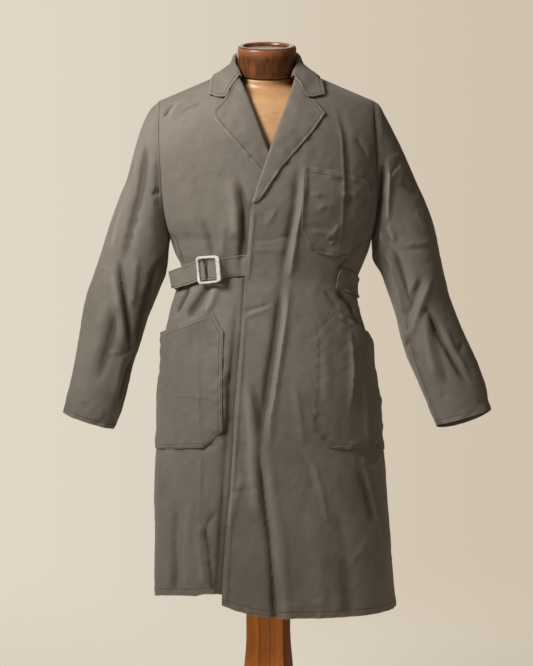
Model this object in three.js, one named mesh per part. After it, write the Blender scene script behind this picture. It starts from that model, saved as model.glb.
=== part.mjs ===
import * as THREE from 'three';

// Driving sizes in millimetres. X runs to the wearer's left, Y to the back, Z up.
const WALL = 1.5; // thickness of one layer of cloth
const SEAM = 0.4; // space between two pieces at a seam
const CHEST_LINE = 1290; // height above which the fronts and back turn in to the shoulders
const ARMPIT = 1146; // lowest point of both armholes
const SHOULDER_TIP = { x: 210, y: 2, z: 1420 };
const SHOULDER_SLOPE = 0.43; // rise for each millimetre towards the neck
const NECK_SIDE = 62; // distance of the collar seam from the middle at the shoulder
const NECK_BACK_SHIFT = 10; // how far the shoulder seam lies further back at the neck
const SHOULDER_ROUNDING = { front: 2, back: 1.5 }; // exponents of the curve over the shoulder
const ARMHOLE_DEPTH = 70; // from the middle of the armhole to its front and back
const FLY_LIFT = 4.5; // the left front lies this far over the right front
const LAPEL_LIFT = 4.5; // the left front lies this much further out beside the lapels
const LAPEL_START = { z: 1160, over: 60 }; // that lift grows from this height, over this much
const LIFT_FADE = { turn: 22, over: 50 }; // it dies out from this turn on, in degrees
const ON_TOP = 1.5; // space between a panel and a pocket sewn on it
const CROSSING = { z: 1325, over: 60 }; // the fronts part from this height, over this much
const HEM_FADE_TOP = 700; // the hem's rise and fall has died out at this height

// The coat's section at each height: half widths to each side, depths to the front and back.
const BODY = table(['z', 'left', 'right', 'front', 'back'], [
  [415, 226, 261, 156, 156],
  [540, 225, 250, 151, 150],
  [663, 225, 240, 146, 144],
  [753, 220, 232, 141, 138],
  [850, 216, 223, 136, 132],
  [953, 203, 202, 124, 126],
  [1000, 193, 187, 115, 119],
  [1040, 182, 178, 109, 111],
  [1070, 169, 181, 106, 104],
  [1096, 171, 192, 108, 106],
  [1120, 182, 202, 112, 111],
  [1146, 190, 208, 117, 117],
  [1190, 199, 214, 123, 124],
  [1240, 204, 216, 127, 129],
  [1290, 207, 214, 127, 131],
  [1350, 210, 211, 124, 128],
  [1420, 210, 210, 118, 124],
]);

// The hem's height round the coat, by turn in degrees from the middle of the front.
const HEM_BASE = 415;
const HEM = table(['turn', 'rise'], [
  [-180, 4], [-90, 14], [-60, 30], [-32, 40], [-22, 30], [-10, 14], [3, 3], [18, 1], [90, -5],
  [180, 4],
]);

// Right edge of the front that lies on top: its roll line up to the neck, then the straight fly.
const FRONT_EDGE = table(['z', 'x'], [
  [415, -86], [444, -85], [563, -78], [639, -71], [746, -64], [831, -60], [954, -50],
  [1058, -42], [1120, -38], [1155, -34], [1218, -29], [1243, -21], [1267, -13], [1320, 5],
  [1380, 27], [1424, 43], [1460, 54], [1484, 62],
]);

// Edge of the front that lies underneath: hidden up to the crossing, then its roll line.
const UNDER_EDGE = table(['z', 'x'], [
  [415, 0], [1000, 30], [1200, 46], [1240, 38], [1280, 20], [1320, 4], [1360, -11],
  [1395, -24], [1443, -43], [1465, -54], [1484, -62],
]);

// Folds in the fronts, each from its top to its bottom end: positive rises, negative sinks.
const FRONT_FOLDS = table(['topX', 'topZ', 'endX', 'endZ', 'width', 'height'], [
  [74, 1240, 50, 1100, 13, 5],
  [50, 1100, 14, 740, 15, 6],
  [8, 1080, -2, 760, 15, -5],
  [-8, 745, 12, 430, 11, -7],
  [36, 700, 44, 425, 18, 5],
  [-36, 860, -40, 560, 15, 6],
  [-48, 1262, -42, 1150, 10, -4],
  [-93, 640, -110, 440, 14, -6],
  [-60, 620, -78, 440, 14, 4],
  [-132, 1046, -156, 985, 11, -4],
  [184, 735, 224, 480, 15, 4],
  [150, 640, 176, 425, 20, -5],
  [-176, 690, -184, 430, 18, -4],
  [-172, 1400, -196, 1368, 9, 3],
  [-150, 1180, -176, 1085, 13, -4],
  [160, 1160, 178, 1075, 12, -4],
]);

// Folds in the back and sides, placed by turn in degrees.
const BACK_FOLDS = table(['topTurn', 'topZ', 'endTurn', 'endZ', 'width', 'height'], [
  [180, 1190, 178, 1080, 26, -4],
  [160, 1030, 154, 420, 26, 8],
  [-158, 1030, -152, 420, 28, 8],
  [172, 960, 174, 430, 20, -6],
  [-128, 1030, -126, 430, 22, -7],
  [124, 1030, 128, 430, 22, -7],
  [108, 940, 110, 430, 20, 6],
  [-108, 900, -108, 430, 20, 6],
  [146, 1180, 142, 1080, 20, 5],
  [-146, 1180, -142, 1080, 20, 5],
  [118, 1170, 116, 1090, 16, -5],
  [-118, 1170, -116, 1090, 16, -5],
]);

// Sleeve sections: outermost and innermost point, middle's depth and half the thickness.
const SLEEVE_COLUMNS = ['outX', 'outZ', 'inX', 'inZ', 'midY', 'half'];
const SLEEVE_RIGHT = table(SLEEVE_COLUMNS, [
  [-211, 1420, -190, 1147, 2, 70],
  [-227, 1405, -192, 1140, 1, 70],
  [-241, 1376, -193, 1133, 0, 70],
  [-259, 1319, -194, 1125, -1, 69],
  [-274, 1268, -195, 1114, -3, 68],
  [-292, 1228, -196, 1102, -4, 67],
  [-310, 1178, -198, 1090, -5, 66],
  [-327, 1124, -202, 1072, -6, 65],
  [-341, 1084, -214, 1043, -8, 63],
  [-354, 1045, -226, 1012, -9, 61],
  [-364, 1011, -238, 983, -11, 60],
  [-373, 962, -254, 931, -14, 58],
  [-380, 916, -266, 895, -18, 55],
  [-389, 869, -277, 852, -22, 51],
  [-397, 838, -288, 810, -26, 47],
  [-404, 804, -303, 771, -30, 43],
]);
const SLEEVE_LEFT = table(SLEEVE_COLUMNS, [
  [210, 1420, 208, 1147, 2, 70],
  [223, 1409, 209, 1137, 1, 70],
  [233, 1390, 209, 1128, 0, 70],
  [254, 1350, 210, 1120, -1, 69],
  [276, 1304, 210, 1110, -3, 68],
  [298, 1258, 213, 1101, -4, 67],
  [318, 1212, 219, 1092, -5, 66],
  [336, 1160, 228, 1078, -7, 65],
  [347, 1104, 237, 1054, -9, 63],
  [358, 1052, 248, 1023, -11, 61],
  [372, 1010, 257, 992, -13, 60],
  [390, 966, 269, 944, -18, 58],
  [405, 933, 280, 911, -24, 55],
  [419, 902, 293, 882, -31, 51],
  [433, 861, 311, 840, -40, 47],
  [439, 828, 323, 808, -48, 43],
  [444, 812, 335, 781, -53, 41],
]);

// Folds along the sleeves, by share of the length and turn in degrees from the outer side.
const SLEEVE_FOLD_COLUMNS = ['from', 'fromTurn', 'to', 'toTurn', 'width', 'height'];
const SLEEVE_RIGHT_FOLDS = table(SLEEVE_FOLD_COLUMNS, [
  [0.16, -62, 0.5, -76, 11, -5],
  [0.48, -96, 0.8, -128, 9, -7],
  [0.5, -70, 0.78, -92, 12, 4],
  [0.8, -100, 0.95, -84, 11, -4],
  [0.3, 100, 0.6, 120, 14, -5],
  [0.62, 60, 0.8, 120, 14, -5],
]);
const SLEEVE_LEFT_FOLDS = table(SLEEVE_FOLD_COLUMNS, [
  [0.1, -96, 0.4, -112, 10, 5],
  [0.58, -58, 0.68, -110, 11, 5],
  [0.6, -44, 0.86, -70, 10, -6],
  [0.66, -128, 0.76, -140, 9, -6],
  [0.3, 100, 0.6, 120, 14, -5],
  [0.62, 60, 0.8, 120, 14, -5],
]);

const OLIVE = new THREE.Color(0x6b6457);
const cloth = () => new THREE.MeshStandardMaterial({ color: OLIVE, roughness: 0.85, metalness: 0 });
const steel = () => new THREE.MeshStandardMaterial({ color: 0xc9c9c6, roughness: 0.3, metalness: 1 });
const linen = () => new THREE.MeshStandardMaterial({ color: 0xd0a064, roughness: 0.6, metalness: 0 });
const darkWood = () => new THREE.MeshStandardMaterial({ color: 0x5c3018, roughness: 0.3, metalness: 0 });
const postWood = () => new THREE.MeshStandardMaterial({ color: 0x8a4c1e, roughness: 0.35, metalness: 0 });

// Helpers for tables and curves
function table(columns, rows) {
  return rows.map((row) => Object.fromEntries(columns.map((name, k) => [name, row[k]])));
}

function mix(a, b, t) {
  return a + (b - a) * t;
}

function clamp(t, low = 0, high = 1) {
  return Math.min(high, Math.max(low, t));
}

function smooth(t) {
  const s = clamp(t);
  return s * s * (3 - 2 * s);
}

// A smooth curve through one column of a table, straight beyond its ends.
function curve(rows, key, column) {
  const at = rows.map((row) => row[key]);
  const value = rows.map((row) => row[column]);
  const last = at.length - 1;
  const slope = at.map((_, k) => {
    const a = Math.max(0, k - 1);
    const b = Math.min(last, k + 1);
    return (value[b] - value[a]) / (at[b] - at[a]);
  });
  return (place) => {
    const p = clamp(place, at[0], at[last]);
    let k = 0;
    while (k < last - 1 && p > at[k + 1]) k += 1;
    const span = at[k + 1] - at[k];
    const t = (p - at[k]) / span;
    const s = t * t * (3 - 2 * t);
    const rise = t * (1 - t) * (1 - t) * slope[k] - t * t * (1 - t) * slope[k + 1];
    return mix(value[k], value[k + 1], s) + span * rise;
  };
}

function radians(degrees) {
  return (degrees * Math.PI) / 180;
}

// The coat's outer surface
const halfWidth = { left: curve(BODY, 'z', 'left'), right: curve(BODY, 'z', 'right') };
const depthFront = curve(BODY, 'z', 'front');
const depthBack = curve(BODY, 'z', 'back');
const hemRise = curve(HEM, 'turn', 'rise');
const frontEdge = curve(FRONT_EDGE, 'z', 'x');
const underEdge = curve(UNDER_EDGE, 'z', 'x');

const WIDTH_POWER = 0.87; // how squarely the section turns at the sides
const SIDE_POWER = 0.87; // the same for its depth below the armpits
const OPEN_POWER = 1.2; // the same for its depth beside the armholes

function shoulderZ(x) {
  return SHOULDER_TIP.z + (SHOULDER_TIP.x - Math.abs(x)) * SHOULDER_SLOPE;
}

function shoulderY(x) {
  const inward = (SHOULDER_TIP.x - Math.abs(x)) / (SHOULDER_TIP.x - NECK_SIDE);
  return SHOULDER_TIP.y + NECK_BACK_SHIFT * inward;
}

// Half the armhole's opening at a height, as a share of its full depth.
function armholeShare(z) {
  if (z <= ARMPIT) return 0;
  const down = (CHEST_LINE - Math.min(z, CHEST_LINE)) / (CHEST_LINE - ARMPIT);
  return Math.sqrt(1 - down * down);
}

function overShoulder(rise, back) {
  const power = back ? SHOULDER_ROUNDING.back : SHOULDER_ROUNDING.front;
  return (1 - clamp(rise) ** power) ** (1 / power);
}

// A row lies at a height up to the chest line, then at a share of the way to the shoulder.
function rowSize(row, side) {
  const z = row.z + (SHOULDER_TIP.z - CHEST_LINE) * row.rise;
  return { half: halfWidth[side](z), z };
}

// A point of the body by turn in degrees and row, before folds.
function bodyPoint(turn, row) {
  const wrapped = turn > 180 ? turn - 360 : turn;
  const side = wrapped < 0 ? 'left' : 'right';
  const back = Math.abs(wrapped) > 90;
  const angle = radians(back ? 180 - Math.abs(wrapped) : Math.abs(wrapped));
  const { half, z } = rowSize(row, side);
  const sine = Math.sin(angle);
  const cosine = Math.max(0, Math.cos(angle));
  const x = Math.sign(wrapped) * half * sine ** WIDTH_POWER;
  const open = smooth((row.z - ARMPIT + 30) / 100);
  const depth = back ? depthBack(row.z) : depthFront(row.z);
  const end = ARMHOLE_DEPTH * armholeShare(z);
  const out = end + (depth - end) * cosine ** mix(SIDE_POWER, OPEN_POWER, open);
  const sign = back ? 1 : -1;
  const middle = SHOULDER_TIP.y * open;
  const fade = 1 - smooth((row.z - HEM_BASE) / (HEM_FADE_TOP - HEM_BASE));
  if (row.rise <= 0) {
    return new THREE.Vector3(x, middle + sign * out, row.z + hemRise(wrapped) * fade);
  }
  const seam = shoulderY(x);
  const y = seam + (middle + sign * out - seam) * overShoulder(row.rise, back);
  return new THREE.Vector3(x, y, mix(CHEST_LINE, shoulderZ(x), row.rise));
}

// The turn and row of a point seen from the front or back.
function placeOf(x, z, back = false) {
  const above = z > CHEST_LINE;
  const rise = above ? clamp((z - CHEST_LINE) / (shoulderZ(x) - CHEST_LINE)) : 0;
  const row = { z: Math.min(z, CHEST_LINE), rise };
  const half = rowSize(row, x < 0 ? 'left' : 'right').half;
  const share = clamp(Math.abs(x) / half);
  const angle = (Math.asin(share ** (1 / WIDTH_POWER)) * 180) / Math.PI;
  const turn = (Math.sign(x) || 1) * (back ? 180 - angle : angle);
  return { turn, row };
}

function bodyNormal(turn, row) {
  const low = { z: row.z, rise: row.rise };
  const high = { z: row.z, rise: row.rise };
  if (row.rise > 0) {
    high.rise = Math.min(0.985, row.rise + 0.02);
    low.rise = Math.max(0, high.rise - 0.04);
  } else {
    high.z += 3;
    low.z -= 3;
  }
  const upward = bodyPoint(turn, high).sub(bodyPoint(turn, low));
  const around = bodyPoint(turn + 1, row).sub(bodyPoint(turn - 1, row));
  return around.cross(upward).normalize();
}

// Height of all folds together at a place on the body.
const DEGREE = 3.4; // millimetres of cloth for one degree of turn, about
const FOLDS = [
  ...FRONT_FOLDS.map((fold) => ({
    ...fold,
    top: placeOf(fold.topX, fold.topZ).turn,
    end: placeOf(fold.endX, fold.endZ).turn,
  })),
  ...BACK_FOLDS.map((fold) => ({ ...fold, top: fold.topTurn, end: fold.endTurn })),
];

function foldHeight(turn, row) {
  const z = row.z + (SHOULDER_TIP.z - CHEST_LINE) * row.rise;
  let height = 0;
  for (const fold of FOLDS) {
    const t = (fold.topZ - z) / (fold.topZ - fold.endZ);
    if (t < -0.3 || t > 1.3) continue;
    const ends = smooth((t + 0.12) / 0.3) * smooth((1.12 - t) / 0.3);
    const openHem = fold.endZ < 500 ? smooth((t + 0.12) / 0.3) : ends;
    let off = turn - mix(fold.top, fold.end, t);
    if (off > 180) off -= 360;
    if (off < -180) off += 360;
    const share = (off * DEGREE) / fold.width;
    height += fold.height * openHem * Math.exp(-share * share);
  }
  const seamFade = row.rise > 0 ? 1 - smooth((row.rise - 0.6) / 0.4) : 1;
  const atArmpit = 1 - armholeNear(turn, row);
  return height * seamFade * atArmpit;
}

// One beside the armhole, falling to zero away from it, so that seams meet.
function armholeNear(turn, row) {
  if (row.z < ARMPIT - 40) return 0;
  const fromSide = Math.abs(90 - Math.abs(turn > 180 ? turn - 360 : turn));
  return (1 - smooth(fromSide / 14)) * smooth((row.z - ARMPIT + 40) / 40);
}

// A point of the coat, moved out by a distance along the body's own direction.
function coatPoint(turn, row, out = 0) {
  const normal = bodyNormal(turn, row);
  return bodyPoint(turn, row).addScaledVector(normal, foldHeight(turn, row) + out);
}

// How far the left front lies out from the body, from its edge to the side seam.
function overLift(turn, row) {
  const z = row.z + (SHOULDER_TIP.z - CHEST_LINE) * row.rise;
  const lapelZone = LAPEL_LIFT * smooth((z - LAPEL_START.z) / LAPEL_START.over);
  const open = 1 - smooth((z - CROSSING.z) / CROSSING.over);
  const near = 1 - smooth((turn - LIFT_FADE.turn) / LIFT_FADE.over);
  return (FLY_LIFT + lapelZone) * open * near;
}

// Walls: a grid of outer points becomes a closed shell of one thickness.
function shell(grid, thickness, { around = false, uprightStart = false } = {}) {
  const rows = grid.length;
  const columns = grid[0].length;
  const at = (i, j) => {
    const jj = around ? (j + columns) % columns : clamp(j, 0, columns - 1);
    return grid[clamp(i, 0, rows - 1)][jj];
  };
  const vertices = [];
  const inner = [];
  for (let i = 0; i < rows; i += 1) {
    for (let j = 0; j < columns; j += 1) {
      const across = at(i, j + 1).clone().sub(at(i, j - 1));
      const along = at(i + 1, j).clone().sub(at(i - 1, j));
      const normal = across.cross(along);
      if (uprightStart && i === 0) normal.x = 0;
      normal.normalize();
      vertices.push(at(i, j));
      inner.push(at(i, j).clone().addScaledVector(normal, -thickness));
    }
  }
  const count = vertices.length;
  const all = [...vertices, ...inner];
  const index = [];
  const quad = (a, b, c, d) => index.push(a, b, c, a, c, d);
  const wrap = around ? columns : columns - 1;
  const id = (i, j) => i * columns + ((j + columns) % columns);
  for (let i = 0; i < rows - 1; i += 1) {
    for (let j = 0; j < wrap; j += 1) {
      quad(id(i, j), id(i, j + 1), id(i + 1, j + 1), id(i + 1, j));
      quad(count + id(i, j), count + id(i + 1, j), count + id(i + 1, j + 1), count + id(i, j + 1));
    }
  }
  for (let j = 0; j < wrap; j += 1) {
    quad(id(0, j), count + id(0, j), count + id(0, j + 1), id(0, j + 1));
    const top = rows - 1;
    quad(id(top, j), id(top, j + 1), count + id(top, j + 1), count + id(top, j));
  }
  if (!around) {
    const far = columns - 1;
    for (let i = 0; i < rows - 1; i += 1) {
      quad(id(i, 0), id(i + 1, 0), count + id(i + 1, 0), count + id(i, 0));
      quad(id(i, far), count + id(i, far), count + id(i + 1, far), id(i + 1, far));
    }
  }
  return mesh(all, index);
}

// Rings of equal count joined into a solid with flat ends.
function solid(rings) {
  const columns = rings[0].length;
  const all = rings.flat();
  const index = [];
  const id = (i, j) => i * columns + (j % columns);
  for (let i = 0; i < rings.length - 1; i += 1) {
    for (let j = 0; j < columns; j += 1) {
      index.push(id(i, j), id(i, j + 1), id(i + 1, j + 1));
      index.push(id(i, j), id(i + 1, j + 1), id(i + 1, j));
    }
  }
  for (const [ring, flip] of [[0, true], [rings.length - 1, false]]) {
    const middle = new THREE.Vector3();
    rings[ring].forEach((p) => middle.addScaledVector(p, 1 / columns));
    const centre = all.push(middle) - 1;
    for (let j = 0; j < columns; j += 1) {
      const a = id(ring, j);
      const b = id(ring, j + 1);
      if (flip) index.push(centre, b, a);
      else index.push(centre, a, b);
    }
  }
  return mesh(all, index);
}

function mesh(points, index) {
  const geometry = new THREE.BufferGeometry();
  const flat = points.flatMap((p) => [p.x, p.y, p.z]);
  geometry.setAttribute('position', new THREE.Float32BufferAttribute(flat, 3));
  geometry.setIndex(index);
  geometry.computeVertexNormals();
  return geometry;
}

// Rows from hem to shoulder, shared by the fronts and the back so that side seams meet.
const ROW_HEIGHTS = [
  415, 440, 480, 530, 590, 650, 710, 770, 830, 890, 945, 985, 1015, 1038, 1060, 1080, 1100,
  1122, 1146, 1165, 1195, 1240, 1290,
];
const ROW_TURNS = [14, 28, 41, 54, 66, 76, 84, 89.7];
const ROWS = [
  ...ROW_HEIGHTS.map((z) => ({ z, rise: 0 })),
  ...ROW_TURNS.map((turn) => ({
    z: CHEST_LINE,
    rise: Math.sin(radians(turn)),
  })),
];

// The place where a front's edge crosses a row.
function edgePlace(edge, row) {
  if (row.rise <= 0) return placeOf(edge(row.z), row.z).turn;
  let z = CHEST_LINE;
  for (let k = 0; k < 6; k += 1) {
    z = mix(CHEST_LINE, shoulderZ(edge(z)), row.rise);
  }
  return placeOf(edge(z), z).turn;
}

// The share of the way across at which a column lies, closer together at both ends.
function spread(k, count) {
  const t = k / count;
  return mix(t, smooth(t), 0.35);
}

const SIDE_GAP = 0.1; // degrees that a panel stops short of the side seam
const ROLL_INSET = 5; // how far a front stops short of its roll line, inside the lapel's turn

function frontPanel(edge, side, columns, lift) {
  const end = side * (90 - SIDE_GAP);
  const grid = ROWS.map((row) => {
    const inset = rollInset(row) * side;
    const start = edgePlace((z) => edge(z) + inset, row);
    const line = [];
    for (let k = 0; k <= columns; k += 1) {
      const turn = mix(start, end, spread(k, columns));
      line.push(coatPoint(turn, row, lift(turn, row)));
    }
    return side > 0 ? line : line.reverse();
  });
  return shell(grid, WALL);
}

function rollInset(row) {
  return ROLL_INSET * smooth((row.z + row.rise * 100 - 1200) / 40);
}

// The back reaches the neck seam across the middle and the shoulder seams beside it.
const NECK_DROP = 16; // how far the back's neck seam lies below the shoulder seam's end
function backPanel(columns) {
  const start = 90 + SIDE_GAP;
  const grid = ROWS.map((row) => {
    const line = [];
    for (let k = 0; k <= columns; k += 1) {
      const full = mix(start, 360 - start, k / columns);
      const turn = full > 180 ? full - 360 : full;
      const x = Math.abs(bodyPoint(turn, row).x);
      const dip = NECK_DROP * (1 - smooth((x - 20) / (NECK_SIDE - 20)));
      const top = shoulderZ(Math.max(x, NECK_SIDE)) - dip;
      const reach = Math.min(1, (top - CHEST_LINE) / (shoulderZ(x) - CHEST_LINE));
      line.push(coatPoint(turn, { z: row.z, rise: row.rise * reach }));
    }
    return line;
  });
  return shell(grid, WALL);
}

// Sleeves
const SLEEVE_AROUND = 18;
const SLEEVE_ALONG = 22;

// How far the armhole bows out from a straight line between its ends, with the seam's gap.
const BOW_SECTIONS = 6; // the bow has died out at this section
function armholeBow(first, z) {
  const side = first.outX < 0 ? 'left' : 'right';
  const height = clamp(z, first.inZ, first.outZ);
  const straight = mix(first.inX, first.outX, (height - first.inZ) / (first.outZ - first.inZ));
  const seam = Math.sign(first.outX) * (halfWidth[side](height) + 2 * SEAM);
  return seam - straight;
}

function sleevePoint(rows, folds, along, turn, out = 0) {
  const last = rows.length - 1;
  const place = along * last;
  const at = (column) => curve(rows.map((row, k) => ({ k, v: row[column] })), 'k', 'v')(place);
  const outer = new THREE.Vector3(at('outX'), at('midY'), at('outZ'));
  const inner = new THREE.Vector3(at('inX'), at('midY'), at('inZ'));
  const angle = radians(turn);
  const cosine = Math.cos(angle);
  const sine = Math.sin(angle);
  const crown = 2 / (sine > 0 ? SHOULDER_ROUNDING.back : SHOULDER_ROUNDING.front);
  const power = cosine > 0 ? mix(1, crown, 1 - smooth(place / 4)) : 1;
  const share = Math.sign(cosine) * Math.abs(cosine) ** power;
  const depth = Math.sign(sine) * Math.abs(sine) ** power;
  const middle = outer.clone().add(inner).multiplyScalar(0.5);
  const arm = outer.clone().sub(inner).multiplyScalar(0.5);
  const point = middle.addScaledVector(arm, share);
  point.y += depth * at('half');
  point.x += armholeBow(rows[0], point.z) * (1 - smooth(place / BOW_SECTIONS));
  let swell = out;
  for (const fold of folds) {
    const t = (along - fold.from) / (fold.to - fold.from);
    const ends = smooth((t + 0.1) / 0.3) * smooth((1.1 - t) / 0.3);
    let off = turn - mix(fold.fromTurn, fold.toTurn, t);
    if (off > 180) off -= 360;
    if (off < -180) off += 360;
    const reach = off / fold.width / 1.1;
    swell += fold.height * ends * Math.exp(-reach * reach);
  }
  const outward = new THREE.Vector3(arm.x * cosine, arm.length() * sine, arm.z * cosine);
  return point.addScaledVector(outward.normalize(), swell);
}

function sleeve(rows, folds, sign) {
  const grid = [];
  for (let i = 0; i <= SLEEVE_ALONG; i += 1) {
    const ring = [];
    for (let j = 0; j < SLEEVE_AROUND; j += 1) {
      const turn = (j * 360) / SLEEVE_AROUND;
      ring.push(sleevePoint(rows, folds, i / SLEEVE_ALONG, turn > 180 ? turn - 360 : turn));
    }
    grid.push(sign > 0 ? ring : ring.reverse());
  }
  return shell(grid, WALL, { around: true, uprightStart: true });
}

// Pieces laid on the body: a place is a turn and a height, found from the front or given
function spot(x, z, back = false) {
  return { turn: placeOf(x, z, back).turn, z, x };
}

function turnSpot(turn, z) {
  return { turn, z };
}

function rowAt(turn, z) {
  if (z <= CHEST_LINE) return { z, rise: 0 };
  const wrapped = Math.abs(turn) > 90 ? 180 - Math.abs(turn) : Math.abs(turn);
  const half = halfWidth[turn < 0 ? 'left' : 'right'](z);
  const x = half * Math.sin(radians(wrapped)) ** WIDTH_POWER;
  return { z: CHEST_LINE, rise: clamp((z - CHEST_LINE) / (shoulderZ(x) - CHEST_LINE)) };
}

function laid(place, out) {
  return coatPoint(place.turn, rowAt(place.turn, place.z), out);
}

// Points spaced along a line of places, with every corner kept.
function along(places, count) {
  const lengths = [];
  for (let k = 1; k < places.length; k += 1) {
    const across = (places[k].turn - places[k - 1].turn) * DEGREE;
    lengths.push(Math.hypot(across, places[k].z - places[k - 1].z));
  }
  const total = lengths.reduce((sum, length) => sum + length, 0);
  const ends = [0];
  let run = 0;
  lengths.forEach((length, k) => {
    run += length;
    const left = lengths.length - 1 - k;
    const wanted = Math.round((run / total) * count);
    ends.push(Math.min(count - left, Math.max(ends[k] + 1, wanted)));
  });
  const points = [];
  for (let k = 0; k < lengths.length; k += 1) {
    const steps = ends[k + 1] - ends[k];
    for (let j = 0; j < steps; j += 1) points.push(mixSpot(places[k], places[k + 1], j / steps));
  }
  points.push(places[places.length - 1]);
  return points;
}

function mixSpot(a, b, t) {
  return { turn: mix(a.turn, b.turn, t), z: mix(a.z, b.z, t), x: mix(a.x, b.x, t) };
}

// Fills a four-sided outline with rows and columns of places. Sides run upwards, ends rightwards.
function fill(outline, columns, rows) {
  const left = along(outline.left, rows);
  const right = along(outline.right, rows);
  const bottom = along(outline.bottom, columns);
  const top = along(outline.top, columns);
  return left.map((_, i) => bottom.map((__, j) => {
    const u = j / columns;
    const v = i / rows;
    const blend = (key) => mix(left[i][key], right[i][key], u) + mix(bottom[j][key], top[j][key], v)
      - mix(mix(left[0][key], right[0][key], u), mix(left[rows][key], right[rows][key], u), v);
    return { turn: blend('turn'), z: blend('z'), x: blend('x'), u, v };
  }));
}

// Lapels: each rolls out of its front's edge and lies on it
const ROLL = 3; // radius of the turn at the roll line
const LAPEL_PUFF = 1.6; // how far the lapel stands off near its roll
const ROLL_TURNS = [-80, -40, 0, 45]; // points of the turn, from behind the front to before it

function lapel(outline, side, columns, rows, lift) {
  const middle = -WALL / 2;
  const onFront = (x, z, out) => {
    const place = placeOf(x, z);
    return coatPoint(place.turn, place.row, lift(place.turn, place.row) + out);
  };
  const grid = fill(outline, columns, rows).map((line) => {
    const ordered = side > 0 ? line : [...line].reverse();
    const first = ordered[0];
    const wrap = ROLL_TURNS.map((turn) => {
      const inset = (ROLL - ROLL * Math.cos(radians(turn))) * side;
      return onFront(first.x + inset, first.z, middle + ROLL * Math.sin(radians(turn)));
    });
    const face = ordered.slice(1).map((place, j) => {
      const t = (j + 1) / columns;
      const inset = ROLL * side * (1 - t);
      const puff = LAPEL_PUFF * Math.sin(Math.PI * t ** 0.7) * smooth((place.v - 0.15) / 0.4);
      return onFront(place.x + inset, place.z, WALL + ON_TOP + puff);
    });
    const full = [...wrap, ...face];
    return side > 0 ? full : full.reverse();
  });
  return shell(grid, WALL);
}

// The stretch of a front's roll line between two heights.
function rollLine(edge, low, high, steps) {
  return Array.from({ length: steps + 1 }, (_, k) => {
    const z = mix(low, high, k / steps);
    return spot(edge(z), z);
  });
}

const LAPEL_RIGHT = {
  left: [spot(4, 1266), spot(-18, 1287), spot(-56, 1331), spot(-99, 1380), spot(-103, 1394)],
  right: rollLine(underEdge, 1276, 1465, 12),
  bottom: [spot(4, 1266), spot(underEdge(1276), 1276)],
  top: [spot(-103, 1394), spot(-79, 1420), spot(-65, 1443), spot(underEdge(1465), 1465)],
};
const LAPEL_LEFT = {
  left: rollLine(frontEdge, 1222, 1461, 14),
  right: [spot(-14, 1226), spot(27, 1288), spot(46, 1309), spot(89, 1358), spot(111, 1390)],
  bottom: [spot(frontEdge(1222), 1222), spot(-14, 1226)],
  top: [
    spot(frontEdge(1461), 1461), spot(66, 1445), spot(80, 1419), spot(89, 1416), spot(111, 1390),
  ],
};

// Collar: seam round the neck, roll over the top and outer edge on the shoulders
const COLLAR_COLUMNS = ['seamX', 'seamY', 'seamZ', 'rollX', 'rollY', 'rollZ', 'edgeX', 'edgeZ'];
const COLLAR = table(COLLAR_COLUMNS, [
  [0, 62, 1470, 0, 58, 1514, 0, 1458],
  [26, 58, 1472, 27, 53, 1514, 38, 1458],
  [48, 44, 1478, 48, 38, 1513, 68, 1459],
  [60, 24, 1486, 60, 17, 1509, 92, 1463],
  [64, 2, 1489, 64, -7, 1499, 103, 1470],
  [62, -24, 1482, 62, -28, 1488, 107, 1452],
]);
const COLLAR_REST = 3.6; // how far the collar's outer edge lies off the coat
const COLLAR_FACES = [true, true, true, true, null, false]; // on the back, the seam or the front
const COLLAR_ROLL = 3; // radius of the fold at the top
const COLLAR_PUFF = 3; // how far the fall stands off below the fold

function collarEdge(place, side) {
  const marks = COLLAR.map((row, k) => {
    const x = side * row.edgeX;
    if (COLLAR_FACES[k] === null) {
      return new THREE.Vector3(x, shoulderY(x), shoulderZ(x) + COLLAR_REST);
    }
    return laid(spot(x, row.edgeZ, COLLAR_FACES[k]), COLLAR_REST);
  });
  const at = (axis) => curve(marks.map((mark, k) => ({ k, v: mark[axis] })), 'k', 'v')(place);
  return new THREE.Vector3(at('x'), at('y'), at('z'));
}

function collarSection(place, side) {
  const at = (column) => curve(COLLAR.map((row, k) => ({ k, v: row[column] })), 'k', 'v')(place);
  const point = (name) => new THREE.Vector3(side * at(`${name}X`), at(`${name}Y`), at(`${name}Z`));
  const seam = point('seam');
  const roll = point('roll');
  const edge = collarEdge(place, side);
  const out = new THREE.Vector3(roll.x, roll.y + 4, 0).normalize();
  const up = new THREE.Vector3(0, 0, 1);
  return [
    seam,
    seam.clone().lerp(roll, 0.55),
    roll.clone().addScaledVector(out, -COLLAR_ROLL),
    roll.clone().addScaledVector(up, COLLAR_ROLL),
    roll.clone().addScaledVector(out, COLLAR_ROLL).addScaledVector(up, 0.5),
    roll.clone().lerp(edge, 0.4).addScaledVector(out, COLLAR_PUFF).addScaledVector(up, COLLAR_PUFF),
    roll.clone().lerp(edge, 0.75).addScaledVector(up, COLLAR_PUFF),
    edge,
  ];
}

// The collar's front end lies along the gorge and the notch.
const COLLAR_FRONT = table(['x', 'z', 'out'], [
  [54, 1467, -2.5], [52, 1468, -1], [51, 1469, 1], [53, 1469, 3.5], [57, 1465, 5], [69, 1447, 5.5],
  [82, 1425, 4.5], [112, 1427, 3.5],
]);

function collar(steps) {
  const last = COLLAR.length - 1;
  const lines = [];
  const front = (side) => COLLAR_FRONT.map((row) => laid(spot(side * row.x, row.z), row.out));
  lines.push(front(-1));
  for (let k = -steps; k <= steps; k += 1) {
    const side = k < 0 ? -1 : 1;
    lines.push(collarSection((Math.abs(k) / steps) * last, side));
  }
  lines.push(front(1));
  return shell(lines, WALL);
}

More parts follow.
